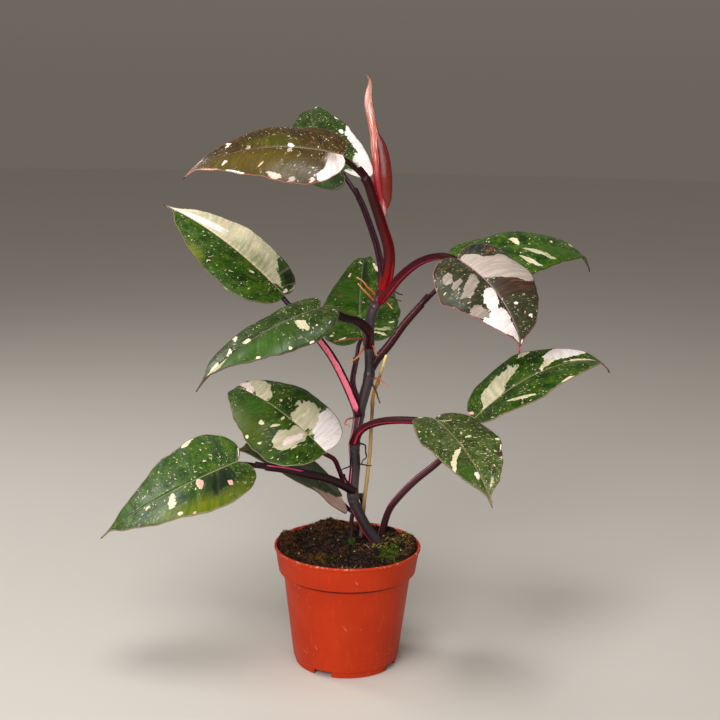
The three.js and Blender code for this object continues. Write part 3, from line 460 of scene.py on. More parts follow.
def sweep(bm, route, across, places, sides, section, ends=(FLAT_START, FLAT_END), slot=0):
    """Adds a closed tube along a route. places run from 0 to 1 along it, and section(t, angle) gives the
    reach to the side and up in mm. Each end is a list of places with a share of the reach and a push out."""
    wrap = bm.loops.layers.uv.get("wrap") or bm.loops.layers.uv.new("wrap")
    rows = [*ends[0], *((t, 1, 0) for t in places), *ends[1]]
    made = bmesh.ops.create_grid(bm, x_segments=sides, y_segments=len(rows) - 1, size=1)["verts"]
    spots = {}
    for vert in made:
        column, line = round((vert.co.x + 1) / 2 * sides), round((vert.co.y + 1) / 2 * (len(rows) - 1))
        spots[vert] = (column / sides, rows[line])
    for face in {face for vert in made for face in vert.link_faces}:
        face.material_index = slot
        face.smooth = True
        for loop in face.loops:
            share, (t, _, _) = spots[loop.vert]
            loop[wrap].uv = (share, t)
    frames = {}
    for vert, (share, row) in spots.items():
        t, shrink, push = row
        if t not in frames:
            place, forward = route.at(t)
            side = (across - forward * across.dot(forward)).normalized()
            frames[t] = (place, forward, side, side.cross(forward), abs(section(t, 0)[0]))
        place, forward, side, up, radius = frames[t]
        angle = TURN * share
        right, top = section(t, angle)
        vert.co = (place + forward * push * radius + side * right * shrink + up * top * shrink) * MM
    bmesh.ops.remove_doubles(bm, verts=made, dist=1e-7)


def new_object(bm, name):
    """Turns a bmesh into an object in the scene"""
    mesh = bpy.data.meshes.new(name)
    bm.to_mesh(mesh)
    bm.free()
    item = bpy.data.objects.new(name, mesh)
    bpy.context.scene.collection.objects.link(item)
    return item


def finish_piece(bm, name, materials, replaces=(), recalc=True):
    """Puts a mesh in the scene as a piece that rides on the plant and stands for CAD nodes"""
    if recalc:
        bmesh.ops.recalc_face_normals(bm, faces=bm.faces)
    piece = new_object(bm, name)
    for material in materials:
        piece.data.materials.append(material)
    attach(piece, "root")
    if replaces:
        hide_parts(*replaces)
    return piece


# Materials

class Nodes:
    """Adds nodes to a tree. A value is a socket to link or a number, vector or colour to set."""

    def __init__(self, tree):
        self.tree = tree

    def feed(self, socket, value):
        if isinstance(value, bpy.types.NodeSocket):
            self.tree.links.new(value, socket)
        else:
            socket.default_value = value

    def add(self, kind, inputs=None, **settings):
        node = self.tree.nodes.new(kind)
        for key, value in settings.items():
            setattr(node, key, value)
        for key, value in (inputs or {}).items():
            self.feed(node.inputs[key], value)
        return node

    def math(self, operation, *values):
        return self.add("ShaderNodeMath", dict(enumerate(values)), operation=operation).outputs[0]

    def plus(self, a, b):
        return self.math("ADD", a, b)

    def minus(self, a, b):
        return self.math("SUBTRACT", a, b)

    def times(self, a, b):
        return self.math("MULTIPLY", a, b)

    def over(self, a, b):
        return self.math("DIVIDE", a, b)

    def larger(self, a, b):
        return self.math("MAXIMUM", a, b)

    def size(self, value):
        return self.math("ABSOLUTE", value)

    def scaled(self, value, factor, start):
        return self.math("MULTIPLY_ADD", value, factor, start)

    def rest(self, mask):
        """What a mask leaves over"""
        return self.minus(1.0, mask)

    def swing(self, noise, strength):
        """How far a noise lies from its middle, times a strength"""
        return self.times(self.minus(noise, 0.5), strength)

    def mix(self, share, first, second):
        inputs = {0: share, 6: first, 7: second}
        return self.add("ShaderNodeMix", inputs, data_type="RGBA").outputs[2]

    def step(self, value, low, high, start=0, end=1):
        """Runs smoothly from start to end as value goes from low to high"""
        names = ("Value", "From Min", "From Max", "To Min", "To Max")
        inputs = dict(zip(names, (value, low, high, start, end)))
        return self.add("ShaderNodeMapRange", inputs, interpolation_type="SMOOTHSTEP").outputs[0]

    def join(self, x, y, z=0.0):
        return self.add("ShaderNodeCombineXYZ", {0: x, 1: y, 2: z}).outputs[0]

    def split(self, vector):
        return self.add("ShaderNodeSeparateXYZ", {0: vector}).outputs

    def stretch(self, x, wide, y, tall, z=0.0):
        """A point for a pattern that repeats wide times across and tall times along"""
        return self.join(self.times(x, wide), self.times(y, tall), z)

    def noise(self, vector, scale=1.0, detail=2.0, rough=0.5, twist=0.0):
        inputs = {"Vector": vector, "Scale": scale, "Detail": detail, "Roughness": rough, "Distortion": twist}
        return self.add("ShaderNodeTexNoise", inputs).outputs[0]

    def cells(self, vector):
        return self.add("ShaderNodeTexVoronoi", {"Vector": vector, "Scale": 1.0}).outputs

    def uv(self, name):
        return self.add("ShaderNodeUVMap", uv_map=name).outputs[0]

    def place(self):
        return self.add("ShaderNodeTexCoord").outputs["Object"]

    def ramp(self, value, stops):
        """Colours spread evenly from 0 to 1"""
        node = self.add("ShaderNodeValToRGB", {0: value})
        points = node.color_ramp.elements
        while len(points) < len(stops):
            points.new(0.5)
        for i, stop in enumerate(stops):
            points[i].position = i / (len(stops) - 1)
            points[i].color = stop
        return node.outputs[0]

    def group(self, tree, **inputs):
        node = self.add("ShaderNodeGroup", node_tree=tree)
        for key, value in inputs.items():
            self.feed(node.inputs[key.replace("_", " ")], value)
        return node.outputs

    def bump(self, height, strength, distance):
        inputs = {"Height": height, "Strength": strength, "Distance": distance}
        return self.add("ShaderNodeBump", inputs).outputs[0]

    def dress(self, shader, colour, rough, relief, strength, depth):
        """Feeds a Principled shader its colour, its roughness and the fine relief of its surface"""
        self.feed(shader["Base Color"], colour)
        self.feed(shader["Roughness"], rough)
        self.feed(shader["Normal"], self.bump(relief, strength, depth))


def new_material(name, **shader):
    """A material with its nodes and its Principled shader, whose own sockets take the plain values"""
    material = bpy.data.materials.new(name)
    material.use_nodes = True
    principled = material.node_tree.nodes["Principled BSDF"]
    nodes = Nodes(material.node_tree)
    for key, value in shader.items():
        nodes.feed(principled.inputs[key.replace("_", " ")], value)
    return material, nodes, principled.inputs


def shared(name, inputs, outputs, build):
    """A node group, built once. build takes its nodes and inputs and gives the outputs in order."""
    found = bpy.data.node_groups.get(name)
    if found:
        return found
    kinds = {"value": "NodeSocketFloat", "vector": "NodeSocketVector", "colour": "NodeSocketColor"}
    tree = bpy.data.node_groups.new(name, "ShaderNodeTree")
    for label, kind in inputs.items():
        tree.interface.new_socket(label, in_out="INPUT", socket_type=kinds[kind])
    for label, kind in outputs.items():
        tree.interface.new_socket(label, in_out="OUTPUT", socket_type=kinds[kind])
    nodes = Nodes(tree)
    start, end = nodes.add("NodeGroupInput"), nodes.add("NodeGroupOutput")
    for label, value in zip(outputs, build(nodes, start.outputs)):
        nodes.feed(end.inputs[label], value)
    return tree


def vein_frame():
    """Where a point lies on a blade, and the masks of its rib, side veins and margin. Widths are in mm."""
    def build(n, given):
        u, row, _ = n.split(given["Vein"])
        signed = n.scaled(u, 2.0, -1.0)
        out = n.size(signed)
        sideways, forward, _ = n.split(given["Blade"])
        across = n.times(n.size(n.minus(sideways, 0.5)), given["Width"])
        streak = n.noise(n.stretch(signed, 2.2, row, 62.0, given["Seed"]), 1.0, 2.0, 0.6)
        drift = n.noise(n.stretch(signed, 3.0, row, 16.0, given["Seed"]), 1.0, 3.0, 0.6)
        bent = n.scaled(n.minus(drift, 0.5), 0.06, row)
        rib_half = n.step(forward, 0.0, 1.0, 0.55, 0.22)
        rib = n.rest(n.step(n.over(across, rib_half), 0.55, 1.2))
        phase = n.times(row, given["Veins"])
        off = n.size(n.minus(phase, n.math("ROUND", phase)))
        veins = n.rest(n.step(off, 0.0, 0.10))
        edge = n.minus(n.over(across, n.larger(out, 0.02)), across)
        margin = n.rest(n.step(edge, 0.25, 0.75))
        return signed, row, n.join(signed, bent), streak, rib, veins, margin
    return shared(
        "Vein frame",
        {"Vein": "vector", "Blade": "vector", "Width": "value", "Veins": "value", "Seed": "value"},
        {"Signed": "value", "Row": "value", "Bent": "vector", "Streak": "value", "Rib": "value",
         "Side veins": "value", "Margin": "value"},
        build,
    )


PATCH_POWER = 2.3  # 2 gives round patches, more gives squarer ones


def marbling_patch():
    """The mask of one patch of marbling, straight along the veins and ragged at its ends"""
    def build(n, given):
        away = n.add("ShaderNodeVectorMath", {0: given["Bent"], 1: given["Centre"]}, operation="SUBTRACT")
        out, level, _ = n.split(away.outputs[0])
        wide, tall, _ = n.split(given["Reach"])
        side = n.split(given["Centre"])[0]
        comb = n.swing(given["Streak"], given["Ragged"])
        x = n.over(out, wide)
        y = n.over(n.minus(level, n.times(out, given["Lean"])), tall)
        lumps = n.noise(n.stretch(x, 1.2, y, 1.2, n.times(side, 17.0)), 1.0, 3.0, 0.55)
        x = n.plus(n.size(x), n.times(comb, 2.2))
        y = n.plus(n.size(y), n.times(comb, 0.4))
        x, y = (n.math("POWER", n.larger(part, 0.0), PATCH_POWER) for part in (x, y))
        far = n.math("POWER", n.plus(x, y), 1 / PATCH_POWER)
        far = n.plus(far, n.swing(lumps, n.scaled(given["Ragged"], 1.6, 0.5)))
        mask = n.step(far, n.plus(1.0, given["Soft"]), n.minus(1.0, given["Soft"]))
        same_half = n.step(n.times(n.split(given["Bent"])[0], n.math("SIGN", side)), -0.004, 0.012)
        return [n.times(mask, same_half)]
    return shared(
        "Marbling patch",
        {"Bent": "vector", "Streak": "value", "Centre": "vector", "Reach": "vector", "Lean": "value",
         "Ragged": "value", "Soft": "value"},
        {"Mask": "value"}, build,
    )


def mottled_green():
    """Greens in streaks along the side veins, with small lighter and greyer cells"""
    def build(n, given):
        s, row, _ = n.split(given["Bent"])
        broad = n.noise(n.stretch(s, 2.4, row, 13.0, given["Seed"]), 1.0, 3.0, 0.6)
        small = n.noise(n.stretch(s, 9.0, row, 44.0, given["Seed"]), 1.0, 3.0, 0.65, 0.6)
        tone = n.plus(n.times(broad, 0.6), n.times(small, 0.4))
        colour = n.mix(n.step(tone, 0.34, 0.58), given["Deep"], given["Middle"])
        spots = n.noise(given["Object"], 230.0, 3.0, 0.6, 0.8)
        lit = n.times(n.step(n.plus(tone, spots), 0.98, 1.20), 0.6)
        colour = n.mix(lit, colour, given["Light"])
        cell = n.cells(n.stretch(s, 7.0, row, 30.0, given["Seed"]))
        chosen = n.math("GREATER_THAN", n.split(cell["Color"])[0], 0.80)
        grey = n.times(chosen, n.times(n.step(cell["Distance"], 0.6, 0.2), 0.45))
        return [n.mix(grey, colour, given["Grey"])]
    return shared(
        "Mottled green",
        {"Bent": "vector", "Object": "vector", "Seed": "value", "Deep": "colour", "Middle": "colour",
         "Light": "colour", "Grey": "colour"},
        {"Color": "colour"}, build,
    )


# Flecks in four sizes: cells across a half blade and along it, greatest radius in a cell, how common they
# are, and the strength of the faintest
FLECKS = (
    (5.0, 72.0, 0.28, 0.7, 0.3), (3.2, 44.0, 0.22, 0.25, 0.7), (9.0, 130.0, 0.40, 1.6, 0.12),
    (14.0, 190.0, 0.44, 1.4, 0.2),
)


def pale_flecks():
    """Small pale flecks, bright or faint, drawn out along the side veins. Amount is from 0 to 1."""
    def build(n, given):
        s, row, _ = n.split(given["Bent"])
        total = None
        for wide, tall, size, common, faint in FLECKS:
            cell = n.cells(n.stretch(s, wide, row, tall, n.plus(given["Seed"], wide)))
            luck = n.split(cell["Color"])
            chosen = n.math("GREATER_THAN", luck[0], n.rest(n.times(given["Amount"], common)))
            radius = n.times(n.times(luck[1], size), chosen)
            fleck = n.step(n.minus(radius, cell["Distance"]), -0.03, 0.05)
            strength = n.scaled(n.math("POWER", luck[2], 1.6), 1 - faint, faint)
            fleck = n.times(fleck, n.times(strength, n.math("GREATER_THAN", radius, 0.001)))
            total = fleck if total is None else n.larger(total, fleck)
        return [total]
    return shared(
        "Pale flecks", {"Bent": "vector", "Seed": "value", "Amount": "value"}, {"Mask": "value"}, build,
    )


def stripe_mask():
    """A line along a stalk, at a share of its turn, between two places along it"""
    def build(n, given):
        u, t, _ = n.split(given["Wrap"])
        turn = n.minus(u, given["Middle"])
        away = n.size(n.minus(turn, n.math("ROUND", turn)))
        wobble = n.noise(n.join(n.times(t, 14.0), given["Middle"]))
        ends = n.times(n.step(t, given["Start"], n.plus(given["Start"], 0.05)),
                       n.step(t, given["End"], n.minus(given["End"], 0.03)))
        wide = n.times(n.times(given["Half"], n.scaled(wobble, 0.9, 0.55)), ends)
        return [n.times(n.step(n.minus(away, wide), 0.012, -0.004), ends)]
    return shared(
        "Stripe",
        {"Wrap": "vector", "Middle": "value", "Half": "value", "Start": "value", "End": "value"},
        {"Mask": "value"}, build,
    )


def skin_grain():
    """Fine lengthwise ridges and pores of a stalk's skin: a tint from 0 to 1, and a height"""
    def build(n, given):
        u, t, _ = n.split(given["Wrap"])
        angle = n.times(u, TURN)
        ridges = n.noise(n.join(n.math("SINE", angle), n.math("COSINE", angle), n.times(t, 3.0)), 7.0, 3.0, 0.6)
        pores = n.noise(given["Object"], 900.0)
        return ridges, n.plus(ridges, n.times(pores, 0.25))
    return shared(
        "Skin grain", {"Wrap": "vector", "Object": "vector"}, {"Tint": "value", "Height": "value"}, build,
    )


def blade_material(name, settings, under):
    """The marbled skin of one blade, browner and duller on its underside"""
    look = MARBLING[name]
    seed = 3.0 + 7.0 * list(LEAVES).index(name)
    side = "under" if under else "upper"
    material, n, shader = new_material(f"{side}_{name}", Specular_IOR_Level=0.24)
    place = n.place()
    spot = n.group(vein_frame(), Vein=n.uv("vein"), Blade=n.uv("blade"), Width=float(LEAVES[name]["width"]),
                   Veins=float(settings.veins), Seed=seed)
    bent, streak = spot["Bent"], spot["Streak"]
    deep, middle, light, grey = (paint(*tone) for tone in TONES[look["tones"]])
    colour = n.group(mottled_green(), Bent=bent, Object=place, Seed=seed, Deep=deep, Middle=middle,
                     Light=light, Grey=grey)[0]
    pale = n.group(pale_flecks(), Bent=bent, Seed=seed, Amount=look["flecks"])[0]
    colour = n.mix(pale, colour, n.mix(n.step(streak, 0.42, 0.56), paint(204, 198, 150), paint(216, 194, 168)))
    for kind, s, row, wide, tall, lean, ragged, soft in look["patches"]:
        mask = n.group(marbling_patch(), Bent=bent, Streak=streak, Centre=(s, row, 0), Reach=(wide, tall, 1),
                       Lean=float(lean), Ragged=ragged, Soft=soft)[0]
        first, second = (paint(*tone) for tone in PAINTS[kind])
        colour = n.mix(mask, colour, n.mix(n.step(streak, 0.38, 0.66), first, second))
        if kind in PALE_PAINTS:
            pale = n.larger(pale, mask)
    colour = n.mix(n.times(spot["Side veins"], 0.16), colour, n.mix(pale, light, paint(222, 178, 160)))
    colour = n.mix(n.times(spot["Rib"], 0.7), colour, paint(*look["rib"]))
    colour = n.mix(n.times(spot["Margin"], 0.85), colour, paint(*look["margin"]))
    colour = n.mix(n.step(spot["Row"], 0.945, 0.98), colour, paint(70, 32, 26))
    low, high = 0.3, 0.44
    if under:
        colour = n.mix(n.minus(0.35, n.times(pale, 0.27)), colour, paint(104, 74, 56))
        low, high = 0.44, 0.6
    rough = n.step(n.noise(place, 60.0, 3.0), 0.3, 0.7, low, high)
    ribbing = n.noise(n.stretch(spot["Signed"], 12.0, spot["Row"], 170.0))
    relief = n.plus(n.times(ribbing, 0.7), n.times(n.noise(place, 1500.0), 0.5))
    n.dress(shader, colour, rough, relief, 0.35, 0.0004)
    return material


def stalk_material(name, colours, stripes, rough=0.3, specular=0.22):
    """The glossy dark skin of a stalk or stem, with its pink stripes; the stem's colours hold painted shade and
    a painted highlight, and the pale mauve stripe of top_back is a painted highlight
    """
    material, n, shader = new_material(name, Specular_IOR_Level=specular)
    wrap = n.uv("wrap")
    grain = n.group(skin_grain(), Wrap=wrap, Object=n.place())
    tint = grain["Tint"]
    along_it = n.plus(n.split(wrap)[1], n.swing(tint, 0.1))
    colour = n.ramp(along_it, [paint(*stop) for stop in colours])
    colour = n.mix(n.step(tint, 0.35, 0.75, 0.0, 0.35), colour, paint(20, 8, 12))
    for middle, half, start, end, tone in stripes:
        mask = n.group(stripe_mask(), Wrap=wrap, Middle=middle, Half=half, Start=start, End=end)[0]
        darker = paint(*(int(0.82 * part) for part in tone))
        colour = n.mix(mask, colour, n.mix(n.step(tint, 0.35, 0.7), paint(*tone), darker))
    n.dress(shader, colour, n.step(tint, 0.3, 0.7, rough - 0.05, rough + 0.12), grain["Height"], 0.35, 0.0005)
    return material


def root_material(kind):
    """Corky root skin from its dark foot to its pale tip"""
    material, n, shader = new_material(f"{kind}_root")
    cork = n.noise(n.place(), 420.0, 3.0, 0.65)
    where = n.plus(n.split(n.uv("wrap"))[1], n.swing(cork, 0.5))
    colour = n.ramp(where, [paint(*stop) for stop in ROOT_COLOURS[kind]])
    n.dress(shader, colour, n.step(cork, 0.3, 0.7, 0.42, 0.62), cork, 0.6, 0.0005)
    return material


# Settings

def colour_setting(name, text, rgb):
    return FloatVectorProperty(name=name, description=text, default=paint(*rgb)[:3], subtype="COLOR",
                               min=0, max=1)


def length_setting(name, text, millimetres):
    return FloatProperty(name=name, description=text, default=millimetres * MM, min=0, unit="LENGTH")


def power_setting(name, text, watts):
    return FloatProperty(name=name, description=text, default=watts, unit="POWER")


def rgba(colour):
    return (*colour, 1)


class BladeSettings(bpy.types.PropertyGroup):
    thickness: length_setting("Thickness", "Thickness of the blades between their veins", 0.8)
    keel: length_setting("Keel", "How far the rib stands out below a blade at its base", 1.5)
    relief: length_setting("Vein relief", "Depth of the side veins in the upper face", 0.28)
    veins: IntProperty(name="Side veins", description="Side veins on each half of a blade", default=11,
                       min=3, max=30)


class StalkSettings(bpy.types.PropertyGroup):
    flange: length_setting("Flange", "Height of the thin edge on each wing of a stalk", 0.35)
    ridge: length_setting("Ridges", "Depth of the fine ridges along a stalk", 0.05)


class StemSettings(bpy.types.PropertyGroup):
    scar: length_setting("Leaf scar", "How far a leaf scar stands out from the stem", 0.35)
    wobble: length_setting("Root bend", "How far the aerial roots stray from their line", 0.35)


class NewLeafSettings(bpy.types.PropertyGroup):
    rose: colour_setting("Rose", "Lower part of the rolled leaf", (138, 24, 34))
    salmon: colour_setting("Salmon", "Upper part of the rolled leaf", (176, 92, 70))
    wine: colour_setting("Wine", "Folded half of the rolled leaf", (84, 7, 5))
    streak: colour_setting("Streak", "Pale streaks on the rolled leaf", (246, 214, 208))


class SoilSettings(bpy.types.PropertyGroup):
    seed: IntProperty(name="Seed", description="Seed of the scattered crumbs and fibres", default=11)
    crumbs: IntProperty(name="Crumbs", description="Loose crumbs on the soil", default=1900, min=0)
    fibres: IntProperty(name="Fibres", description="Coir fibres on the soil", default=1000, min=0)
    peat: colour_setting("Peat", "Dark peat of the potting mix", (13, 5, 2))
    bark: colour_setting("Bark", "Brown bark in the potting mix", (48, 27, 12))
    coir: colour_setting("Coir", "Dry fibres on the potting mix", (84, 48, 22))
    moss: colour_setting("Moss", "Green moss on the potting mix", (42, 66, 6))


class PotSettings(bpy.types.PropertyGroup):
    radius: FloatProperty(name="Rim radius", description="Outer radius of the pot's lip", default=POT_TOP.x,
                          min=0.01, unit="LENGTH")
    height: FloatProperty(name="Height", description="Height of the pot", default=POT_TOP.z,
                          min=0.01, unit="LENGTH")
    plastic: colour_setting("Plastic", "Colour of the pot", (182, 50, 14))
    dust: colour_setting("Dust", "Pale dust and water marks on the pot", (222, 190, 166))


class StageSettings(bpy.types.PropertyGroup):
    floor: colour_setting("Floor", "Colour of the floor", (198, 192, 183))
    wall: colour_setting("Wall", "Colour of the surroundings", (180, 173, 166))
    lens: FloatProperty(name="Lens", description="Focal length of the camera", default=63.55, unit="CAMERA")
    key: power_setting("Key light", "Power of the large soft light", 31)
    top: power_setting("Top light", "Power of the soft light overhead", 14)
    fill: power_setting("Fill light", "Power of the light from the right", 1)
    sheen: power_setting("Sheen light", "Power of the small light behind on the left", 5)


# Blades

BLADE_COLUMNS, BLADE_ROWS = 30, 110  # Faces on each half of a blade, across and along it
RIB_STEPS = 192
LOBE_SHARE = 5 / 14  # Share of the rows that end below the widest place
SWEEP, VEIN_BEND = 0.11, 1.3  # How far the side veins slant forwards, and how they curve
WAVES, WAVE_LEAD = 2.5, 1.3  # Waves along a margin, and how far the left one runs ahead


def rib_of(leaf, hook=0):
    """Places and directions along a blade's rib, one row each"""
    t = np.linspace(0, 1, RIB_STEPS + 1)
    pitch = np.radians(leaf["rise"] - leaf["droop"] * t ** 1.2 - hook * np.clip((t - 0.8) / 0.2, 0, 1) ** 1.5)
    heading = np.radians(leaf["heading"] + leaf["sway"] * t)
    forward = np.stack([np.cos(pitch) * np.cos(heading), np.cos(pitch) * np.sin(heading), np.sin(pitch)], 1)
    level = np.stack([np.sin(heading), -np.cos(heading), 0 * t], 1)
    roll = -math.radians(leaf["roll"])
    right = level * math.cos(roll) + np.cross(forward, level) * math.sin(roll)
    steps = (forward[1:] + forward[:-1]) * leaf["length"] / RIB_STEPS / 2
    place = np.array(leaf["base"], float) + np.vstack([np.zeros(3), np.cumsum(steps, 0)])
    return dict(place=place, forward=forward, right=right, upper=np.cross(right, forward))


def bezier(handles, t):
    p0, p1, p2, p3 = (np.array(handle, float) for handle in handles)
    t = t[:, None]
    return (1 - t) ** 3 * p0 + 3 * (1 - t) ** 2 * t * p1 + 3 * (1 - t) * t ** 2 * p2 + t ** 3 * p3


def blade_surface(leaf, rib, tail, signed, row):
    """Points of the blade's upper face, in mm, with their reach across and along the rib"""
    length, half = leaf["length"], leaf["width"] / 2
    lobe, widest = leaf["lobe"] * length, leaf["widest"] * length
    in_lobe = row < LOBE_SHARE
    share = np.where(in_lobe, row / LOBE_SHARE, (row - LOBE_SHARE) / (1 - LOBE_SHARE))
    lobe_edge = bezier([(0, 0), (0.2 * half, -1.75 * lobe), (half, -1.3 * lobe), (half, widest)], share)
    shoulder = mix(widest, length, 0.36)
    tip_edge = bezier([(half, widest), (half, shoulder), (0.05 * half, 0.93 * length), (0, length)], share)
    edge = np.where(in_lobe[:, None], lobe_edge, tip_edge)
    start = np.where(in_lobe, (widest - SWEEP * length) * share ** 2, edge[:, 1] - SWEEP * length * (1 - share))
    out = np.abs(signed)
    share = np.clip((edge[:, 1] / length - 0.80) / 0.14, 0, 1)
    taper = 1 - tail * share ** 2 * (3 - 2 * share)
    uneven = (0.015 * np.sin(TURN * (6.3 * row + leaf["length"]))
              + 0.009 * np.sin(TURN * (14.7 * row + leaf["width"])))
    across = edge[:, 0] * out * taper * (1 - 0.018 * tail + uneven * np.sign(signed) * out ** 2)
    forward = mix(start, edge[:, 1], out ** VEIN_BEND)
    where = np.clip(forward / length, 0, 1)
    t = np.linspace(0, 1, RIB_STEPS + 1)
    place, ahead, right, upper = (
        np.stack([np.interp(where, t, rib[key][:, axis]) for axis in range(3)], 1)
        for key in ("place", "forward", "right", "upper")
    )
    reach = across / half
    tilt = np.radians(leaf["fold"] - 0.5 * leaf["curl"] * reach)
    turn = TURN * WAVES * forward / length + np.where(signed < 0, WAVE_LEAD, 0)
    lift = across * np.sin(tilt) + leaf["wave"] * reach ** 2 * np.sin(turn)
    points = (place + ahead * np.minimum(forward, 0)[:, None]
              + right * (np.sign(signed) * across * np.cos(tilt))[:, None] + upper * lift[:, None])
    return points, across, forward, upper


def blade_relief(across, signed, row, veins, depth):
    """Height of the veins over the blade's upper face, in mm: a sunk rib and side veins, quilted between"""
    rib = -0.42 * np.exp(-(across / 0.7) ** 2) + 0.12 * np.exp(-((across - 2.2) / 1.2) ** 2)
    off = np.abs(row * veins - np.round(row * veins))
    out = np.abs(signed)
    fade = np.clip(out * 6, 0, 1) * np.clip((1 - out) * 5, 0, 1)
    side = -depth * np.exp(-(off / 0.11) ** 2) + 0.4 * depth * off
    return rib * (1 - row) ** 0.4 + side * fade * np.clip((1 - row) * 5, 0, 1)


def make_blade(name, settings):
    """Shapes one blade from a flat grid, with a keel below its rib"""
    leaf = LEAVES[name]
    bm = bmesh.new()
    vein, flat = bm.loops.layers.uv.new("vein"), bm.loops.layers.uv.new("blade")
    keel = bm.verts.layers.deform.new()
    bmesh.ops.create_grid(bm, x_segments=2 * BLADE_COLUMNS, y_segments=BLADE_ROWS, size=1)
    grid = np.array([vert.co for vert in bm.verts])
    signed = np.sign(grid[:, 0]) * np.abs(grid[:, 0]) ** 1.5
    row = (grid[:, 1] + 1) / 2
    tail, hook = TAILS[name]
    rib = rib_of(leaf, hook)

    def upper_face(s, r):
        return blade_surface(leaf, rib, tail, s, r)

    points, across, forward, upper = upper_face(signed, row)
    step = 1e-3
    inner, outer = np.clip(signed - step, -1, 1), np.clip(signed + step, -1, 1)
    back, ahead = np.clip(row - step, 0, 1), np.clip(row + step, 0, 1)
    sideways = upper_face(outer, row)[0] - upper_face(inner, row)[0]
    lengthways = upper_face(signed, ahead)[0] - upper_face(signed, back)[0]
    normal = np.cross(sideways, lengthways)
    size = np.linalg.norm(normal, axis=1)
    normal = np.where(size[:, None] > 1e-9, normal / np.maximum(size, 1e-12)[:, None], upper)
    height = blade_relief(across, signed, row, settings.veins, settings.relief / MM)
    points += normal * height[:, None]
    width, length = leaf["width"], leaf["length"]
    places = {
        vert: ((0.5 + s / 2, r), (0.5 + math.copysign(a, s) / width, f / length))
        for vert, s, r, a, f in zip(bm.verts, signed, row, across, forward)
    }
    for face in bm.faces:
        face.smooth = True
        for loop in face.loops:
            loop[vein].uv, loop[flat].uv = places[loop.vert]
    full = settings.thickness + settings.keel
    for vert, point, a, r in zip(bm.verts, points, across, row):
        vert.co = Vector(point) * MM
        swell = settings.keel * math.exp(-((a / 1.5) ** 2)) * (1 - r) ** 0.8
        vert[keel][0] = (settings.thickness + swell) / full
    bmesh.ops.remove_doubles(bm, verts=bm.verts, dist=1e-6)
    materials = [blade_material(name, settings, under) for under in (False, True)]
    piece = finish_piece(bm, f"blade_{name}", materials, [f"leaf_{name}"], recalc=False)
    piece.vertex_groups.new(name="keel")
    body = piece.modifiers.new("Thickness", "SOLIDIFY")
    body.thickness = full
    body.offset = -1
    body.vertex_group = "keel"
    body.material_offset = 1
    body.material_offset_rim = 0


class BuildBlades(bpy.types.Operator):
    """Grows the twelve marbled blades"""
    bl_idname = "philodendron.blades"
    bl_label = "Blades"

    def execute(self, context):
        for name in LEAVES:
            make_blade(name, context.scene.philodendron_blades)
        return {"FINISHED"}


# Stalks

WING_ANGLE = 0.85  # Where the wings stand, in radians to each side of the top
EAR, EAR_END, NECK = 0.08, 0.085, 0.09  # How far past the wings' share the ears, their rows and the neck come
BLADE_GAP = 0.8 + 0.3  # From the rib's line down to the neck, in mm: the blade and the gap below it


def wing_edge(angle, width):
    """How near an angle is to the thin edge of a wing, from 0 to 1"""
    return math.exp(-((abs(abs(angle - TURN / 4) - WING_ANGLE) / width) ** 2))


def make_stalk(name, settings):
    """Sweeps one stalk: grooved and winged up to its ears, then round up to the blade"""
    leaf = LEAVES[name]
    foot, tip = (thick / 2 for thick in leaf["thick"])
    wing, rib = leaf["wing"], rib_of(leaf)
    sag = 2 * tip * max(0, math.sin(math.radians(-leaf["fold"])))
    upper, forward = Vector(rib["upper"][0]), Vector(rib["forward"][0])
    under = Vector(leaf["base"]) - upper * (BLADE_GAP + tip + sag)
    route = Route([*leaf["stalk"], tuple(under), tuple(under + forward * 7)])
    away = Vector(leaf["base"]) - Vector(leaf["stalk"][0])
    across = Vector((away.y, -away.x, 0)).normalized()
    wing_end = mix(foot, tip, 0.45)
    flange, ridge = settings.flange / MM, settings.ridge / MM
    neck = wing + NECK

    def section(t, angle):
        right, top = math.cos(angle), math.sin(angle)
        fine = ridge * math.sin(angle * 19 + 3 * math.sin(9 * t))
        if t > wing + EAR * wing_edge(angle, 0.26):
            radius = tip * (0.55 if t == 1 else 1) + fine
            return radius * right, radius * top * 0.92
        radius = mix(foot, wing_end, min(t / wing, 1)) + fine
        groove = 0.5 * max(0, top) ** 6
        crest = 2 * 0.12 * max(0, top) * abs(right)
        flare = 1 + 2.2 * max(0, t - wing) / EAR
        thin = flare * flange * wing_edge(angle, 0.16)
        return (radius * right * (1 + crest) + math.copysign(thin, right),
                radius * top * (0.92 - groove + crest) + 0.5 * thin)

    places = [*(wing * i / 56 for i in range(56)), *(wing + EAR_END * i / 15 for i in range(15)),
              *(neck + (1 - neck) * i / 22 for i in range(23))]
    bm = bmesh.new()
    sweep(bm, route, across, places, 40, section)
    look = STALKS[name]
    material = stalk_material(f"stalk_{name}", look["colours"], look["stripes"])
    finish_piece(bm, f"petiole_{name}", [material], [f"stalk_{name}"])


class BuildStalks(bpy.types.Operator):
    """Grows the twelve winged stalks"""
    bl_idname = "philodendron.stalks"
    bl_label = "Stalks"

    def execute(self, context):
        for name in LEAVES:
            make_stalk(name, context.scene.philodendron_stalks)
        return {"FINISHED"}


# Stem and roots

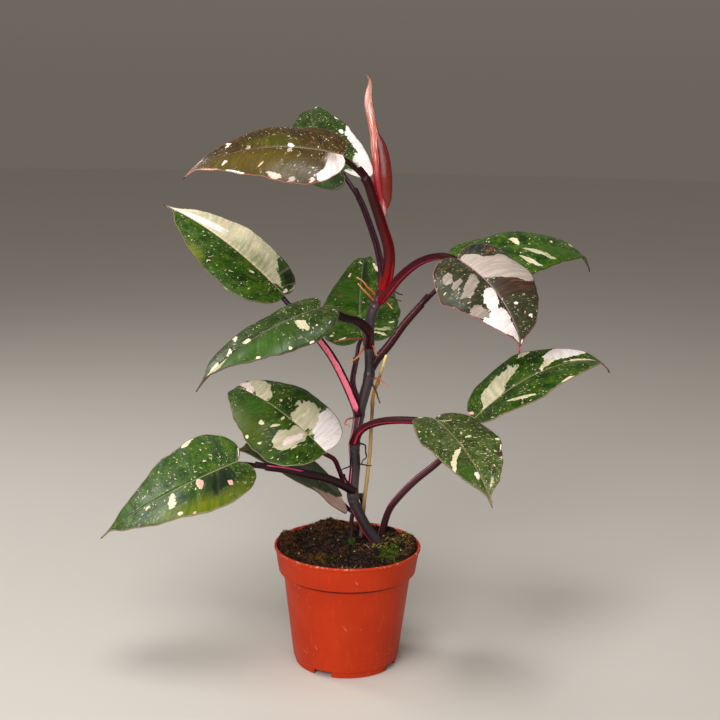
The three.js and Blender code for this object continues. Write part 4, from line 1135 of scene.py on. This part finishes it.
def make_stem(settings):
    """Sweeps the stem, with a swelling and a leaf scar at each node"""
    low, high = STEM["route"][0][2], STEM["route"][-1][2]
    scar = settings.scar / MM

    def section(t, angle):
        height = mix(low, high, t)
        radius = mix(STEM["foot"], STEM["top"], t)
        for node in STEM["nodes"]:
            radius += STEM["swell"] * math.exp(-((height - node) / STEM["reach"]) ** 2)
            radius += scar * math.exp(-((height - node + 4.5 + math.sin(angle)) / 0.7) ** 2)
        radius += 0.10 * math.sin(5 * angle + 2 * math.sin(height / 9)) + 0.05 * math.sin(13 * angle)
        return radius * math.cos(angle), radius * math.sin(angle)

    bm = bmesh.new()
    sweep(bm, Route(STEM["route"]), Vector((1, 0, 0)), [i / 240 for i in range(241)], 40, section)
    material = stalk_material("stem_skin", STEM["colours"], STEM_LINES, 0.26, 0.5)
    finish_piece(bm, "stem", [material], ["main_stem"])


def make_aerial_roots(settings):
    """Sweeps the thin roots that leave the stem, each bent a little off its line"""
    rng = random.Random(5)
    bm = bmesh.new()
    kinds = list(ROOT_COLOURS)
    stray = settings.wobble / MM * 2
    across = Vector((0.3, 0.8, 0.5)).normalized()
    for kind, thick, points in ROOTS:
        points = [Vector(point) for point in points]
        bent = [points[0]]
        for a, b in zip(points, points[1:]):
            jolt = Vector((rng.uniform(-1, 1), rng.uniform(-1, 1), rng.uniform(-1, 1))) * stray
            bent += [a.lerp(b, 0.5) + jolt, b]

        def section(t, angle, thick=thick):
            knots = 0.05 * math.sin(31 * t + thick) + 0.03 * math.sin(77 * t)
            radius = thick / 2 * (mix(1.0, 0.55, t) + knots)
            return radius * math.cos(angle), radius * math.sin(angle)

        sweep(bm, Route([tuple(point) for point in bent]), across, [i / 26 for i in range(27)], 12, section,
              (FLAT_START, ROUND_END), kinds.index(kind))
    finish_piece(bm, "aerial_roots", [root_material(kind) for kind in kinds])


class BuildStem(bpy.types.Operator):
    """Grows the stem with its leaf scars, and its aerial roots"""
    bl_idname = "philodendron.stem"
    bl_label = "Stem and aerial roots"

    def execute(self, context):
        make_stem(context.scene.philodendron_stem)
        make_aerial_roots(context.scene.philodendron_stem)
        return {"FINISHED"}


def long_root_material():
    """Tan cork with darker stretches and a pale yellow growing tip"""
    material, n, shader = new_material("climbing_root")
    cork = n.noise(n.place(), 300.0, 4.0, 0.65)
    t = n.split(n.uv("wrap"))[1]
    colour = n.ramp(n.plus(t, n.swing(cork, 0.04)), [paint(*stop) for stop in LONG_ROOT["colours"]])
    rings = n.noise(n.join(0.0, 0.0, n.times(t, 60.0)), 1.0, 3.0)
    colour = n.mix(n.step(rings, 0.58, 0.72, 0.0, 0.6), colour, paint(92, 60, 34))
    n.dress(shader, colour, n.step(cork, 0.3, 0.7, 0.45, 0.65), cork, 0.5, 0.0006)
    return material


class BuildLongRoot(bpy.types.Operator):
    """Grows the long tan root that climbs behind the stem"""
    bl_idname = "philodendron.long_root"
    bl_label = "Long root"

    def execute(self, context):
        def section(t, angle):
            radius = mix(LONG_ROOT["foot"], LONG_ROOT["tip"], t * t) / 2
            for knot, size in LONG_ROOT["knots"]:
                radius += size * math.exp(-((t - knot) / 0.012) ** 2)
            radius *= 1 + 0.04 * math.sin(3 * angle + 40 * t) + 0.03 * math.sin(90 * t)
            return radius * math.cos(angle), radius * math.sin(angle)

        bm = bmesh.new()
        sweep(bm, Route(LONG_ROOT["route"]), Vector((1, 0, 0)), [i / 160 for i in range(161)], 20, section,
              (FLAT_START, ROUND_END))
        finish_piece(bm, "climbing_root", [long_root_material()], ["long_root"])
        return {"FINISHED"}


# The new leaf

def new_leaf_material(name, stops, streak_colour, amount):
    """Glossy young skin, coloured from foot to tip, with fine lengthwise streaks"""
    material, n, shader = new_material(name, Coat_Weight=0.2, Coat_Roughness=0.2, Specular_IOR_Level=0.3)
    u, t, _ = n.split(n.uv("wrap"))
    grain = n.noise(n.stretch(u, 30.0, t, 4.0), 1.0, 3.0, 0.6)
    colour = n.ramp(n.scaled(n.minus(grain, 0.5), 0.12, t), stops)
    marks = n.noise(n.stretch(u, 44.0, t, 5.0, 4.0), 1.0, 2.0, 0.6, 0.3)
    high = n.times(n.step(t, 0.45, 0.8), n.step(t, 0.97, 0.85))
    pale = n.step(n.plus(marks, n.times(high, 0.10)), 0.60, 0.66, 0.0, amount)
    colour = n.mix(pale, colour, streak_colour)
    relief = n.plus(grain, n.times(n.noise(n.place(), 700.0), 0.3))
    n.dress(shader, colour, n.step(grain, 0.3, 0.7, 0.22, 0.36), relief, 0.4, 0.0004)
    return material


class BuildNewLeaf(bpy.types.Operator):
    """Rolls the newest leaf: a slim roll with the fuller half folded beside it"""
    bl_idname = "philodendron.new_leaf"
    bl_label = "New leaf"

    def execute(self, context):
        settings = context.scene.philodendron_new_leaf
        route = Route(NEW_LEAF["route"])
        across = Vector((1, 0, 0))
        slim = NEW_LEAF["roll"]
        start, end = 0.08, 0.66  # The fuller half's share of the length

        def roll(t, angle):
            whole = along(NEW_LEAF["halves"], t)
            half = min(whole, slim + 0.12 * max(0, whole - slim))
            lapped = half * (1 + 0.10 * (angle / TURN))
            return half - whole + lapped * math.cos(angle), lapped * NEW_LEAF["depth"] * math.sin(angle)

        def lobe(t, angle):
            whole = along(NEW_LEAF["halves"], t) * 1.03
            foot, top = max(0, min(1, (t - start) / 0.07)), max(0, min(1, (end - t) / 0.12))
            reach = mix(slim * 0.8, whole, math.sqrt(foot) * top * top * (3 - 2 * top))
            half = max(0.3, (whole - slim + 0.9) * math.sqrt(foot) * math.sqrt(top))
            crease = 1 + 0.16 * math.cos(angle) ** 3
            return reach - half + half * math.cos(angle), half * 0.5 * crease * math.sin(angle) + 0.5

        bm = bmesh.new()
        sweep(bm, route, across, [i / 120 for i in range(121)], 40, roll, (FLAT_START, ROUND_END), 0)
        sweep(bm, route, across, [mix(start, end, i / 90) for i in range(91)], 32, lobe,
              ([(start, 0, 0)], [(end, 0, 0)]), 1)
        rose, salmon, wine = rgba(settings.rose), rgba(settings.salmon), rgba(settings.wine)
        rolled = [paint(206, 150, 146), rose, rose, paint(150, 50, 38), salmon, salmon,
                  paint(190, 128, 108), paint(120, 70, 54)]
        folded = [paint(108, 24, 8), paint(100, 20, 8), wine, wine, paint(120, 22, 16)]
        materials = [new_leaf_material("rolled_half", rolled, rgba(settings.streak), 0.85),
                     new_leaf_material("folded_half", folded, paint(176, 84, 70), 0.3)]
        finish_piece(bm, "rolled_leaf", materials, ["new_leaf"])
        return {"FINISHED"}


# Potting mix

def soil_height(x, y):
    """Height of the potting mix at a place, in mm, with its heaps and lumps"""
    heaped = sum(height * math.exp(-(((x - cx) / across) ** 2 + ((y - cy) / deep) ** 2) / 2)
                 for cx, cy, across, deep, height in SOIL["heaps"])
    # Lumps about 10 mm and 2.6 mm across, which die down towards the rim
    coarse = 3.2 * noise.fractal(Vector((x, y, 0)) / 10, 0.8, 2.1, 4)
    lumps = coarse + 1.6 * noise.noise(Vector((x, y, 7)) / 2.6)
    rim = max(0, math.hypot(x, y) - 44) / 12
    return SOIL["level"] + heaped + lumps * (1 - 0.4 * rim) - 1.4


def soil_material(name, dark, light, rough=0.9, share=(0.42, 0.62)):
    """A matt material with blots of two colours. share says where the noise turns from one to the other."""
    material, n, shader = new_material(name, Specular_IOR_Level=0.2)
    place = n.place()
    blots = n.noise(place, 240.0, 4.0, 0.65)
    colour = n.mix(n.step(blots, *share), dark, light)
    rough = n.step(blots, 0.3, 0.7, rough, rough - 0.15)
    n.dress(shader, colour, rough, n.noise(place, 900.0, 3.0), 0.7, 0.0012)
    return material


def in_pot(x, y, gap):
    """Whether a place lies at least a gap, in mm, inside the rim of the mix"""
    return math.hypot(x, y) <= SOIL["radius"] - gap


def scatter(rng, reach=None):
    """A place on the soil, in mm, evenly spread over the disc or near a centre"""
    if reach:
        x, y, spread = reach
        return x + rng.gauss(0, spread), y + rng.gauss(0, spread)
    radius, angle = (SOIL["radius"] - 1.5) * math.sqrt(rng.random()), rng.uniform(0, TURN)
    return radius * math.cos(angle), radius * math.sin(angle)


def add_crumb(bm, rng, x, y, size, flat, slot, lift=0.3):
    """Adds one uneven lump, lifted from the soil by a share of its size"""
    made = bmesh.ops.create_icosphere(bm, subdivisions=1, radius=1)["verts"]
    turn = Matrix.Rotation(rng.uniform(0, TURN), 4, "Z") @ Matrix.Rotation(rng.uniform(0, 3), 4, "X")
    shape = Matrix.Diagonal((size * rng.uniform(0.7, 1.5), size * rng.uniform(0.6, 1.1), size * flat, 1))
    centre = Vector((x, y, soil_height(x, y) + lift * size))
    for vert in made:
        vert.co = (centre + turn @ shape @ (vert.co * rng.uniform(0.75, 1.15))) * MM
    for face in {face for vert in made for face in vert.link_faces}:
        face.material_index = slot


def gather(bm, part):
    """Moves a small mesh into a large one, so that many shapes are made quickly"""
    mesh = bpy.data.meshes.new("part")
    part.to_mesh(mesh)
    part.free()
    bm.from_mesh(mesh)
    bpy.data.meshes.remove(mesh)


def strand(rng, start, heading, length, thick, bend, slot):
    """The three points of a curved strand that starts at a place on the soil, with its radius and slot"""
    first = heading.normalized()
    stray = Vector((rng.uniform(-1, 1), rng.uniform(-1, 1), rng.uniform(-1, 0.6)))
    second = (first + stray * bend).normalized()
    middle = start + first * length / 2
    return start, middle, middle + second * length / 2, thick, slot


STRAND_RINGS = (0, 1, 0.85, 0.6, 0)  # Thickness of a strand from its foot to its tip


def weave(bm, strands):
    """Adds thin three-sided strands with closed ends, shaped and cut from one grid"""
    part = bmesh.new()
    rings = len(STRAND_RINGS)
    rows = len(strands) * rings - 1
    bmesh.ops.create_grid(part, x_segments=3, y_segments=rows, size=1)
    lines = {vert: round((vert.co.y + 1) / 2 * rows) for vert in part.verts}
    joints = []
    for face in part.faces:
        line = min(lines[vert] for vert in face.verts)
        if line % rings == rings - 1:
            joints.append(face)
        else:
            face.material_index = strands[line // rings][4]
    for vert, line in lines.items():
        start, middle, end, thick, _ = strands[line // rings]
        ring = line % rings
        share, angle = ring / (rings - 1), TURN * (vert.co.x + 1) / 2
        side = (middle - start).orthogonal().normalized()
        other = (middle - start).normalized().cross(side)
        spot = start.lerp(middle, share).lerp(middle.lerp(end, share), share)
        vert.co = (spot + (side * math.cos(angle) + other * math.sin(angle)) * thick * STRAND_RINGS[ring]) * MM
    bmesh.ops.delete(part, geom=joints, context="FACES")
    bmesh.ops.remove_doubles(part, verts=part.verts, dist=1e-7)
    gather(bm, part)


def tuft(bm, rng, count, centre, spread, lengths, thick, lean=0.6, lift=0.0, bend=0.6, slot=0):
    """Strands that stand in the soil round a centre, or all over it without one"""
    strands = []
    for _ in range(count):
        if centre:
            x, y = centre[0] + rng.gauss(0, spread[0]), centre[1] + rng.gauss(0, spread[1])
        else:
            x, y = scatter(rng)
        if not in_pot(x, y, 0.8):
            continue
        start = Vector((x, y, soil_height(x, y) - 0.5 + lift))
        heading = Vector((rng.uniform(-lean, lean), rng.uniform(-lean, lean),
                          1 if lean < 1 else rng.uniform(0, 0.6)))
        strands.append(strand(rng, start, heading, rng.uniform(*lengths), rng.uniform(*thick), bend, slot))
    weave(bm, strands)


def make_mix():
    """The body of the mix: a disc of rings that turns down into the pot at its edge"""
    radius, base = SOIL["radius"], SOIL["base"]
    rings = [radius * i / 90 for i in range(91)]
    below = [(50.0, 78.0), (42.0, base), (0, base)]  # Radius and height of the rings under the surface
    bm = bmesh.new()
    rows = len(rings) + 2
    bmesh.ops.create_grid(bm, x_segments=220, y_segments=rows, size=1)
    for vert in bm.verts:
        angle = TURN * (vert.co.x + 1) / 2
        ring = round((vert.co.y + 1) / 2 * rows)
        if ring < len(rings):
            x, y = rings[ring] * math.cos(angle), rings[ring] * math.sin(angle)
            height = soil_height(x, y)
        else:
            reach, height = below[ring - len(rings)]
            x, y = reach * math.cos(angle), reach * math.sin(angle)
        vert.co = Vector((x, y, height)) * MM
    bmesh.ops.remove_doubles(bm, verts=bm.verts, dist=1e-7)
    for face in bm.faces:
        face.smooth = True
    return bm


def make_crumbs(rng, count):
    """Crumbs of peat and bark all over, perlite, and yellow bits of moss on the right"""
    bm, part = bmesh.new(), bmesh.new()
    for i in range(count):
        x, y = scatter(rng)
        size = rng.choice((0.5, 0.7, 0.9, 1.2, 1.7))
        add_crumb(part, rng, x, y, size, rng.uniform(0.4, 0.9), rng.choice((0, 0, 0, 1, 1, 2)))
        if i % 60 == 59:
            gather(bm, part)
            part = bmesh.new()
    for i in range(36):
        x, y = scatter(rng, (44, 4, 10)) if i % 3 == 0 else scatter(rng)
        if in_pot(x, y, 1.5):
            add_crumb(part, rng, x, y, rng.uniform(0.35, 0.7), 0.9, 3, 0.8)
    for i in range(110):
        x, y = scatter(rng, (38, 8, 12)) if i % 5 else scatter(rng)
        if in_pot(x, y, 1.5):
            add_crumb(part, rng, x, y, rng.uniform(0.4, 1.0), 0.4, 4, 1.0)
    gather(bm, part)
    return bm


def make_fibres(rng, share):
    """Coir: a fuzz on the back heap and along the rim at both sides, loose fibres all over, and a few pale
    ones over the front rim and by the foot of the stem"""
    bm = bmesh.new()
    tuft(bm, rng, int(1700 * share), (-15, 36), (13, 10), (1.4, 3.6), (0.10, 0.20), 0.9)
    tuft(bm, rng, int(1000 * share), (-51, 7), (4, 13), (1.4, 3.6), (0.10, 0.20), 0.9)
    tuft(bm, rng, int(800 * share), (51, 12), (4, 13), (1.2, 3.2), (0.10, 0.20), 0.9)
    tuft(bm, rng, int(3600 * share), None, None, (1.4, 4.0), (0.08, 0.18), 1.0, bend=1.0)
    tuft(bm, rng, 22, (-4, -50), (6, 3), (3, 7), (0.14, 0.24), 0.9, 1.0, slot=1)
    tuft(bm, rng, 26, (26, 0), (5, 5), (4, 9), (0.16, 0.28), 1.0, 1.0, 0.9, 1)
    return bm


def make_green_moss(rng):
    """A bright cushion on the right, yellower moss round it, and blades of grass green in the middle"""
    bm = bmesh.new()
    tuft(bm, rng, 1300, (35, -13), (4.6, 6.0), (1.2, 2.3), (0.20, 0.34), 0.6, 0.3, slot=0)
    tuft(bm, rng, 520, (39, 8), (9, 12), (1.2, 2.6), (0.16, 0.30), 0.8, slot=1)
    tuft(bm, rng, 30, (3, 0), (2.2, 2.5), (3.5, 6), (0.20, 0.30), 0.35, slot=2)
    tuft(bm, rng, 240, (-20, 6), (22, 20), (1.0, 2.2), (0.16, 0.28), 0.8, slot=1)
    return bm


def make_brown_moss(rng):
    """Old moss at the front left and on the left rim"""
    bm = bmesh.new()
    tuft(bm, rng, 1300, (-22, -27), (5.5, 5.5), (1.2, 2.4), (0.18, 0.30), 0.9)
    tuft(bm, rng, 350, (-46, -8), (6, 8), (1.2, 2.4), (0.18, 0.30), 0.9)
    return bm


class BuildSoil(bpy.types.Operator):
    """Fills the pot with peat, bark crumbs, coir fibres, perlite and moss"""
    bl_idname = "philodendron.soil"
    bl_label = "Potting mix"

    def execute(self, context):
        settings = context.scene.philodendron_soil
        rng = random.Random(settings.seed)
        peat, bark, coir, moss = (
            rgba(colour) for colour in (settings.peat, settings.bark, settings.coir, settings.moss)
        )
        mix_look = soil_material("peat", peat, bark, share=(0.5, 0.7))
        finish_piece(make_mix(), "potting_mix", [mix_look], ["soil"])
        finish_piece(make_crumbs(rng, settings.crumbs), "crumbs", [
            soil_material("peat_crumb", peat, paint(34, 20, 10)),
            soil_material("bark_crumb", paint(40, 22, 10), paint(78, 46, 23)),
            soil_material("fibre_crumb", paint(56, 32, 14), paint(94, 58, 28)),
            soil_material("perlite", paint(170, 162, 144), paint(214, 206, 190), 0.8),
            soil_material("yellow_bit", paint(104, 104, 22), paint(168, 156, 76), 0.7),
        ])
        finish_piece(make_fibres(rng, settings.fibres / 1000), "coir_fibres", [
            soil_material("coir", coir, paint(132, 82, 44), 0.85),
            soil_material("pale_fibre", paint(160, 118, 82), paint(192, 158, 118)),
        ])
        finish_piece(make_green_moss(rng), "green_moss", [
            soil_material("moss", moss, paint(84, 108, 16), 0.8),
            soil_material("yellow_moss", paint(78, 74, 16), paint(134, 126, 38), 0.8),
            soil_material("seedling", paint(44, 74, 10), paint(70, 104, 16), 0.7),
        ])
        old_moss = soil_material("old_moss", paint(76, 50, 18), paint(124, 90, 36), 0.85)
        finish_piece(make_brown_moss(rng), "brown_moss", [old_moss])
        return {"FINISHED"}


# Pot

def pot_material(settings):
    """Satin terracotta plastic with scuffs, dust and water marks, and painted shade, a dark line, in the corner
    below the band
    """
    material, n, shader = new_material("pot_plastic", Specular_IOR_Level=0.13)
    place = n.place()
    x, y, z = n.split(place)
    broad = n.noise(place, 26.0, 3.0, 0.6)
    colour = n.mix(n.step(broad, 0.35, 0.7, 0.0, 0.5), rgba(settings.plastic), paint(164, 41, 10))
    flow = n.noise(n.join(x, y, n.times(z, 0.14)), 340.0, 3.0)
    colour = n.mix(n.step(flow, 0.55, 0.75, 0.0, 0.18), colour, paint(216, 80, 40))
    dots = n.step(n.noise(place, 520.0, 2.0, 0.7), 0.76, 0.80)
    scratch = n.noise(n.join(n.plus(x, n.times(z, 0.8)), y, n.times(z, 0.06)), 520.0)
    scuffs = n.times(n.step(scratch, 0.68, 0.74), n.step(n.noise(place, 38.0), 0.52, 0.62))
    # The film lies on top of the lip and the painted shade in the corner below the band: heights in metres
    film = n.times(n.step(z, 0.0972, 0.0984), n.step(n.noise(place, 420.0, 3.0), 0.54, 0.68, 0.0, 0.5))
    dust = n.larger(n.larger(n.times(dots, 0.8), n.times(scuffs, 0.4)), film)
    colour = n.mix(dust, colour, rgba(settings.dust))
    # Painted shade: the wall just under the band is darkened where the band's overhang shades it
    painted_shade_under_band = n.times(n.step(z, 0.0752, 0.0768), n.step(z, 0.0786, 0.0779))
    colour = n.mix(n.times(painted_shade_under_band, 0.9), colour, paint(54, 14, 7))
    rough = n.plus(n.step(broad, 0.3, 0.7, 0.42, 0.54), n.times(dust, 0.3))
    n.dress(shader, colour, rough, n.minus(n.noise(place, 1600.0), n.times(scuffs, 0.4)), 0.22, 0.0004)
    return material


def pot_profile():
    """The pot's section from the middle of its underside round to the middle of its floor, in mm"""
    p = POT
    band = p["height"] - p["band_height"]
    ledge, floor = band + p["wall"], p["foot_height"] + p["wall"]
    lip = p["height"] - p["lip_height"]
    ring = p["foot"] - p["foot_width"]

    def inside(height):
        if height <= band:
            share = (height - p["foot_height"]) / (band - p["foot_height"])
            return mix(p["wall_foot"], p["wall_top"], share) - p["wall"]
        return mix(p["band_foot"], p["band_top"], (height - band) / p["band_height"]) - p["wall"]

    return [
        (0, 0), (p["pad"], 0), (p["pad"] + p["wall"], p["floor"]), (ring - p["wall"], p["floor"]), (ring, 0),
        (p["foot"], 0), (p["foot"], p["foot_height"]), (p["wall_foot"], p["foot_height"] + p["bevel"]),
        (p["wall_top"], band), (p["band_foot"], band + p["bevel"]), (p["band_top"], lip),
        (p["rim"], lip + p["bevel"]), (p["rim"], p["height"]), (p["rim"] - p["lip_width"], p["height"]),
        (inside(lip), lip), (inside(ledge), ledge), (inside(band), band), (inside(floor), floor), (0, floor),
    ]


def round_edges(bm, edges, radius, segments):
    """Bevels edges by a radius in mm"""
    bmesh.ops.bevel(bm, geom=edges, offset=radius * MM, offset_type="OFFSET", segments=segments, profile=0.5,
                    affect="EDGES", material=-1, clamp_overlap=True)


def notch_cutter():
    """Blocks with rounded tops, one for each notch in the foot"""
    bm = bmesh.new()
    size = Matrix.Diagonal((3 * POT["foot_width"], POT["notch_width"], 2 * POT["notch_height"], 1))
    for i in range(POT["notches"]):
        block = bmesh.ops.create_cube(bm, size=1)["verts"]
        angle = math.radians(POT["first_notch"] + 360 / POT["notches"] * i)
        where = Matrix.Rotation(angle, 4, "Z") @ Matrix.Translation((POT["foot"], 0, 0)) @ size
        for vert in block:
            vert.co = (where @ vert.co) * MM
        top = [edge for edge in bm.edges if all(vert in block and vert.co.z > 0 for vert in edge.verts)]
        round_edges(bm, top, 1.2, 4)
    return new_object(bm, "notch_cutter")


class BuildPot(bpy.types.Operator):
    """Turns the nursery pot and cuts the drain notches in its foot"""
    bl_idname = "philodendron.pot"
    bl_label = "Pot"

    def execute(self, context):
        settings = context.scene.philodendron_pot
        wide, tall = settings.radius / POT["rim"], settings.height / POT["height"]
        bm = bmesh.new()
        corners = [bm.verts.new((radius * wide, 0, height * tall)) for radius, height in pot_profile()]
        edges = [bm.edges.new(pair) for pair in zip(corners, corners[1:])]
        bmesh.ops.spin(bm, geom=corners + edges, cent=(0, 0, 0), axis=(0, 0, 1), angle=TURN, steps=160,
                       use_merge=True)
        bmesh.ops.remove_doubles(bm, verts=bm.verts, dist=1e-6)
        bmesh.ops.recalc_face_normals(bm, faces=bm.faces)
        flat = math.radians(24)
        sharp = [edge for edge in bm.edges if edge.is_manifold and edge.calc_face_angle() > flat]
        round_edges(bm, sharp, 0.4, 3)
        for face in bm.faces:
            face.smooth = True
        pot = finish_piece(bm, "nursery_pot", [pot_material(settings)], ["pot"])
        cutter = notch_cutter()
        cut = pot.modifiers.new("Notches", "BOOLEAN")
        cut.operation, cut.solver, cut.object = "DIFFERENCE", "EXACT", cutter
        bpy.context.view_layer.update()
        shaped = pot.evaluated_get(bpy.context.evaluated_depsgraph_get())
        pot.data = bpy.data.meshes.new_from_object(shaped)
        pot.modifiers.clear()
        bpy.data.objects.remove(cutter)
        if len(pot.data.polygons) < 1000:
            raise RuntimeError("the pot lost its faces when its notches were cut")
        return {"FINISHED"}


# Stage

# The camera, solved from the ellipses of the pot's rim and foot, in metres and degrees
CAMERA_PLACE, CAMERA_TILT, CAMERA_ROLL = (0.0074, -0.997, 0.446), 79.05, 1.08

# Each light's name, place and width in metres. Its power is the setting of the same name.
LIGHTS = (
    ("key", (-0.42, -1.5, 0.98), 1.2), ("top", (-0.1, -0.5, 1.7), 0.6), ("fill", (1.1, -1.2, 0.7), 1.2),
    ("sheen", (-1.0, 0.5, 0.98), 0.35),
)
LIGHT_TARGET = Vector((0.01, 0, 0.26))
STUDIO_STRENGTH = 0.5


class BuildStage(bpy.types.Operator):
    """Sets the pale floor, the soft lights and the camera"""
    bl_idname = "philodendron.stage"
    bl_label = "Floor, light and camera"

    def execute(self, context):
        scene = context.scene
        settings = scene.philodendron_stage
        bm = bmesh.new()
        bmesh.ops.create_circle(bm, cap_ends=True, segments=96, radius=9)
        floor = new_object(bm, "floor")
        floor.location.z = -0.0003
        material, n, shader = new_material("floor", Roughness=0.7)
        tint = n.step(n.noise(n.place(), 3.0), 0.3, 0.7, 0.0, 0.3)
        n.feed(shader["Base Color"], n.mix(tint, rgba(settings.floor), paint(194, 187, 178)))
        floor.data.materials.append(material)

        world = bpy.data.worlds.new("studio")
        world.use_nodes = True
        sky = Nodes(world.node_tree)
        height = sky.split(sky.add("ShaderNodeTexCoord").outputs["Generated"])[2]
        colour = sky.mix(sky.step(height, 0.0, 0.35), paint(146, 138, 127), rgba(settings.wall))
        background = world.node_tree.nodes["Background"]
        sky.feed(background.inputs["Color"], colour)
        sky.feed(background.inputs["Strength"], STUDIO_STRENGTH)
        scene.world = world

        for name, spot, size in LIGHTS:
            lamp = bpy.data.lights.new(name, "AREA")
            lamp.energy, lamp.size = getattr(settings, name), size
            light = bpy.data.objects.new(name, lamp)
            light.location = spot
            light.rotation_euler = (LIGHT_TARGET - Vector(spot)).to_track_quat("-Z", "Y").to_euler()
            scene.collection.objects.link(light)

        camera = bpy.data.objects.new("camera", bpy.data.cameras.new("camera"))
        camera.data.lens = settings.lens
        camera.data.sensor_width = 36
        camera.data.clip_start, camera.data.clip_end = 0.05, 30
        tilt = Matrix.Rotation(math.radians(CAMERA_TILT), 4, "X")
        roll = Matrix.Rotation(math.radians(CAMERA_ROLL), 4, "Z")
        camera.matrix_world = Matrix.Translation(CAMERA_PLACE) @ tilt @ roll
        scene.collection.objects.link(camera)
        scene.camera = camera
        scene.view_settings.view_transform = "Standard"
        return {"FINISHED"}


class PlantPanel(bpy.types.Panel):
    """Lists the settings and the steps that build the plant"""
    bl_idname = "VIEW3D_PT_philodendron"
    bl_label = "Philodendron"
    bl_space_type = "VIEW_3D"
    bl_region_type = "UI"
    bl_category = "Philodendron"

    def draw(self, context):
        for step, key in STEPS:
            box = self.layout.box()
            group = getattr(context.scene, key, None)
            for name in getattr(group, "__annotations__", {}):
                box.prop(group, name)
            box.operator(step.bl_idname)


SETTINGS = {
    "philodendron_pot": PotSettings, "philodendron_soil": SoilSettings, "philodendron_stem": StemSettings,
    "philodendron_stalks": StalkSettings, "philodendron_blades": BladeSettings,
    "philodendron_new_leaf": NewLeafSettings, "philodendron_stage": StageSettings,
}
STEPS = [
    (BuildPot, "philodendron_pot"), (BuildSoil, "philodendron_soil"), (BuildStem, "philodendron_stem"),
    (BuildLongRoot, "philodendron_stem"), (BuildStalks, "philodendron_stalks"),
    (BuildBlades, "philodendron_blades"), (BuildNewLeaf, "philodendron_new_leaf"),
    (BuildStage, "philodendron_stage"),
]
CLASSES = [*SETTINGS.values(), *(step for step, _ in STEPS), PlantPanel]


def register():
    for kind in CLASSES:
        bpy.utils.register_class(kind)
    for name, group in SETTINGS.items():
        setattr(bpy.types.Scene, name, PointerProperty(type=group))


def unregister():
    for name in SETTINGS:
        delattr(bpy.types.Scene, name)
    for kind in reversed(CLASSES):
        bpy.utils.unregister_class(kind)


def main():
    register()
    for step, _ in STEPS:
        getattr(bpy.ops.philodendron, step.bl_idname.split(".")[1])()


if __name__ == "__main__":
    main()
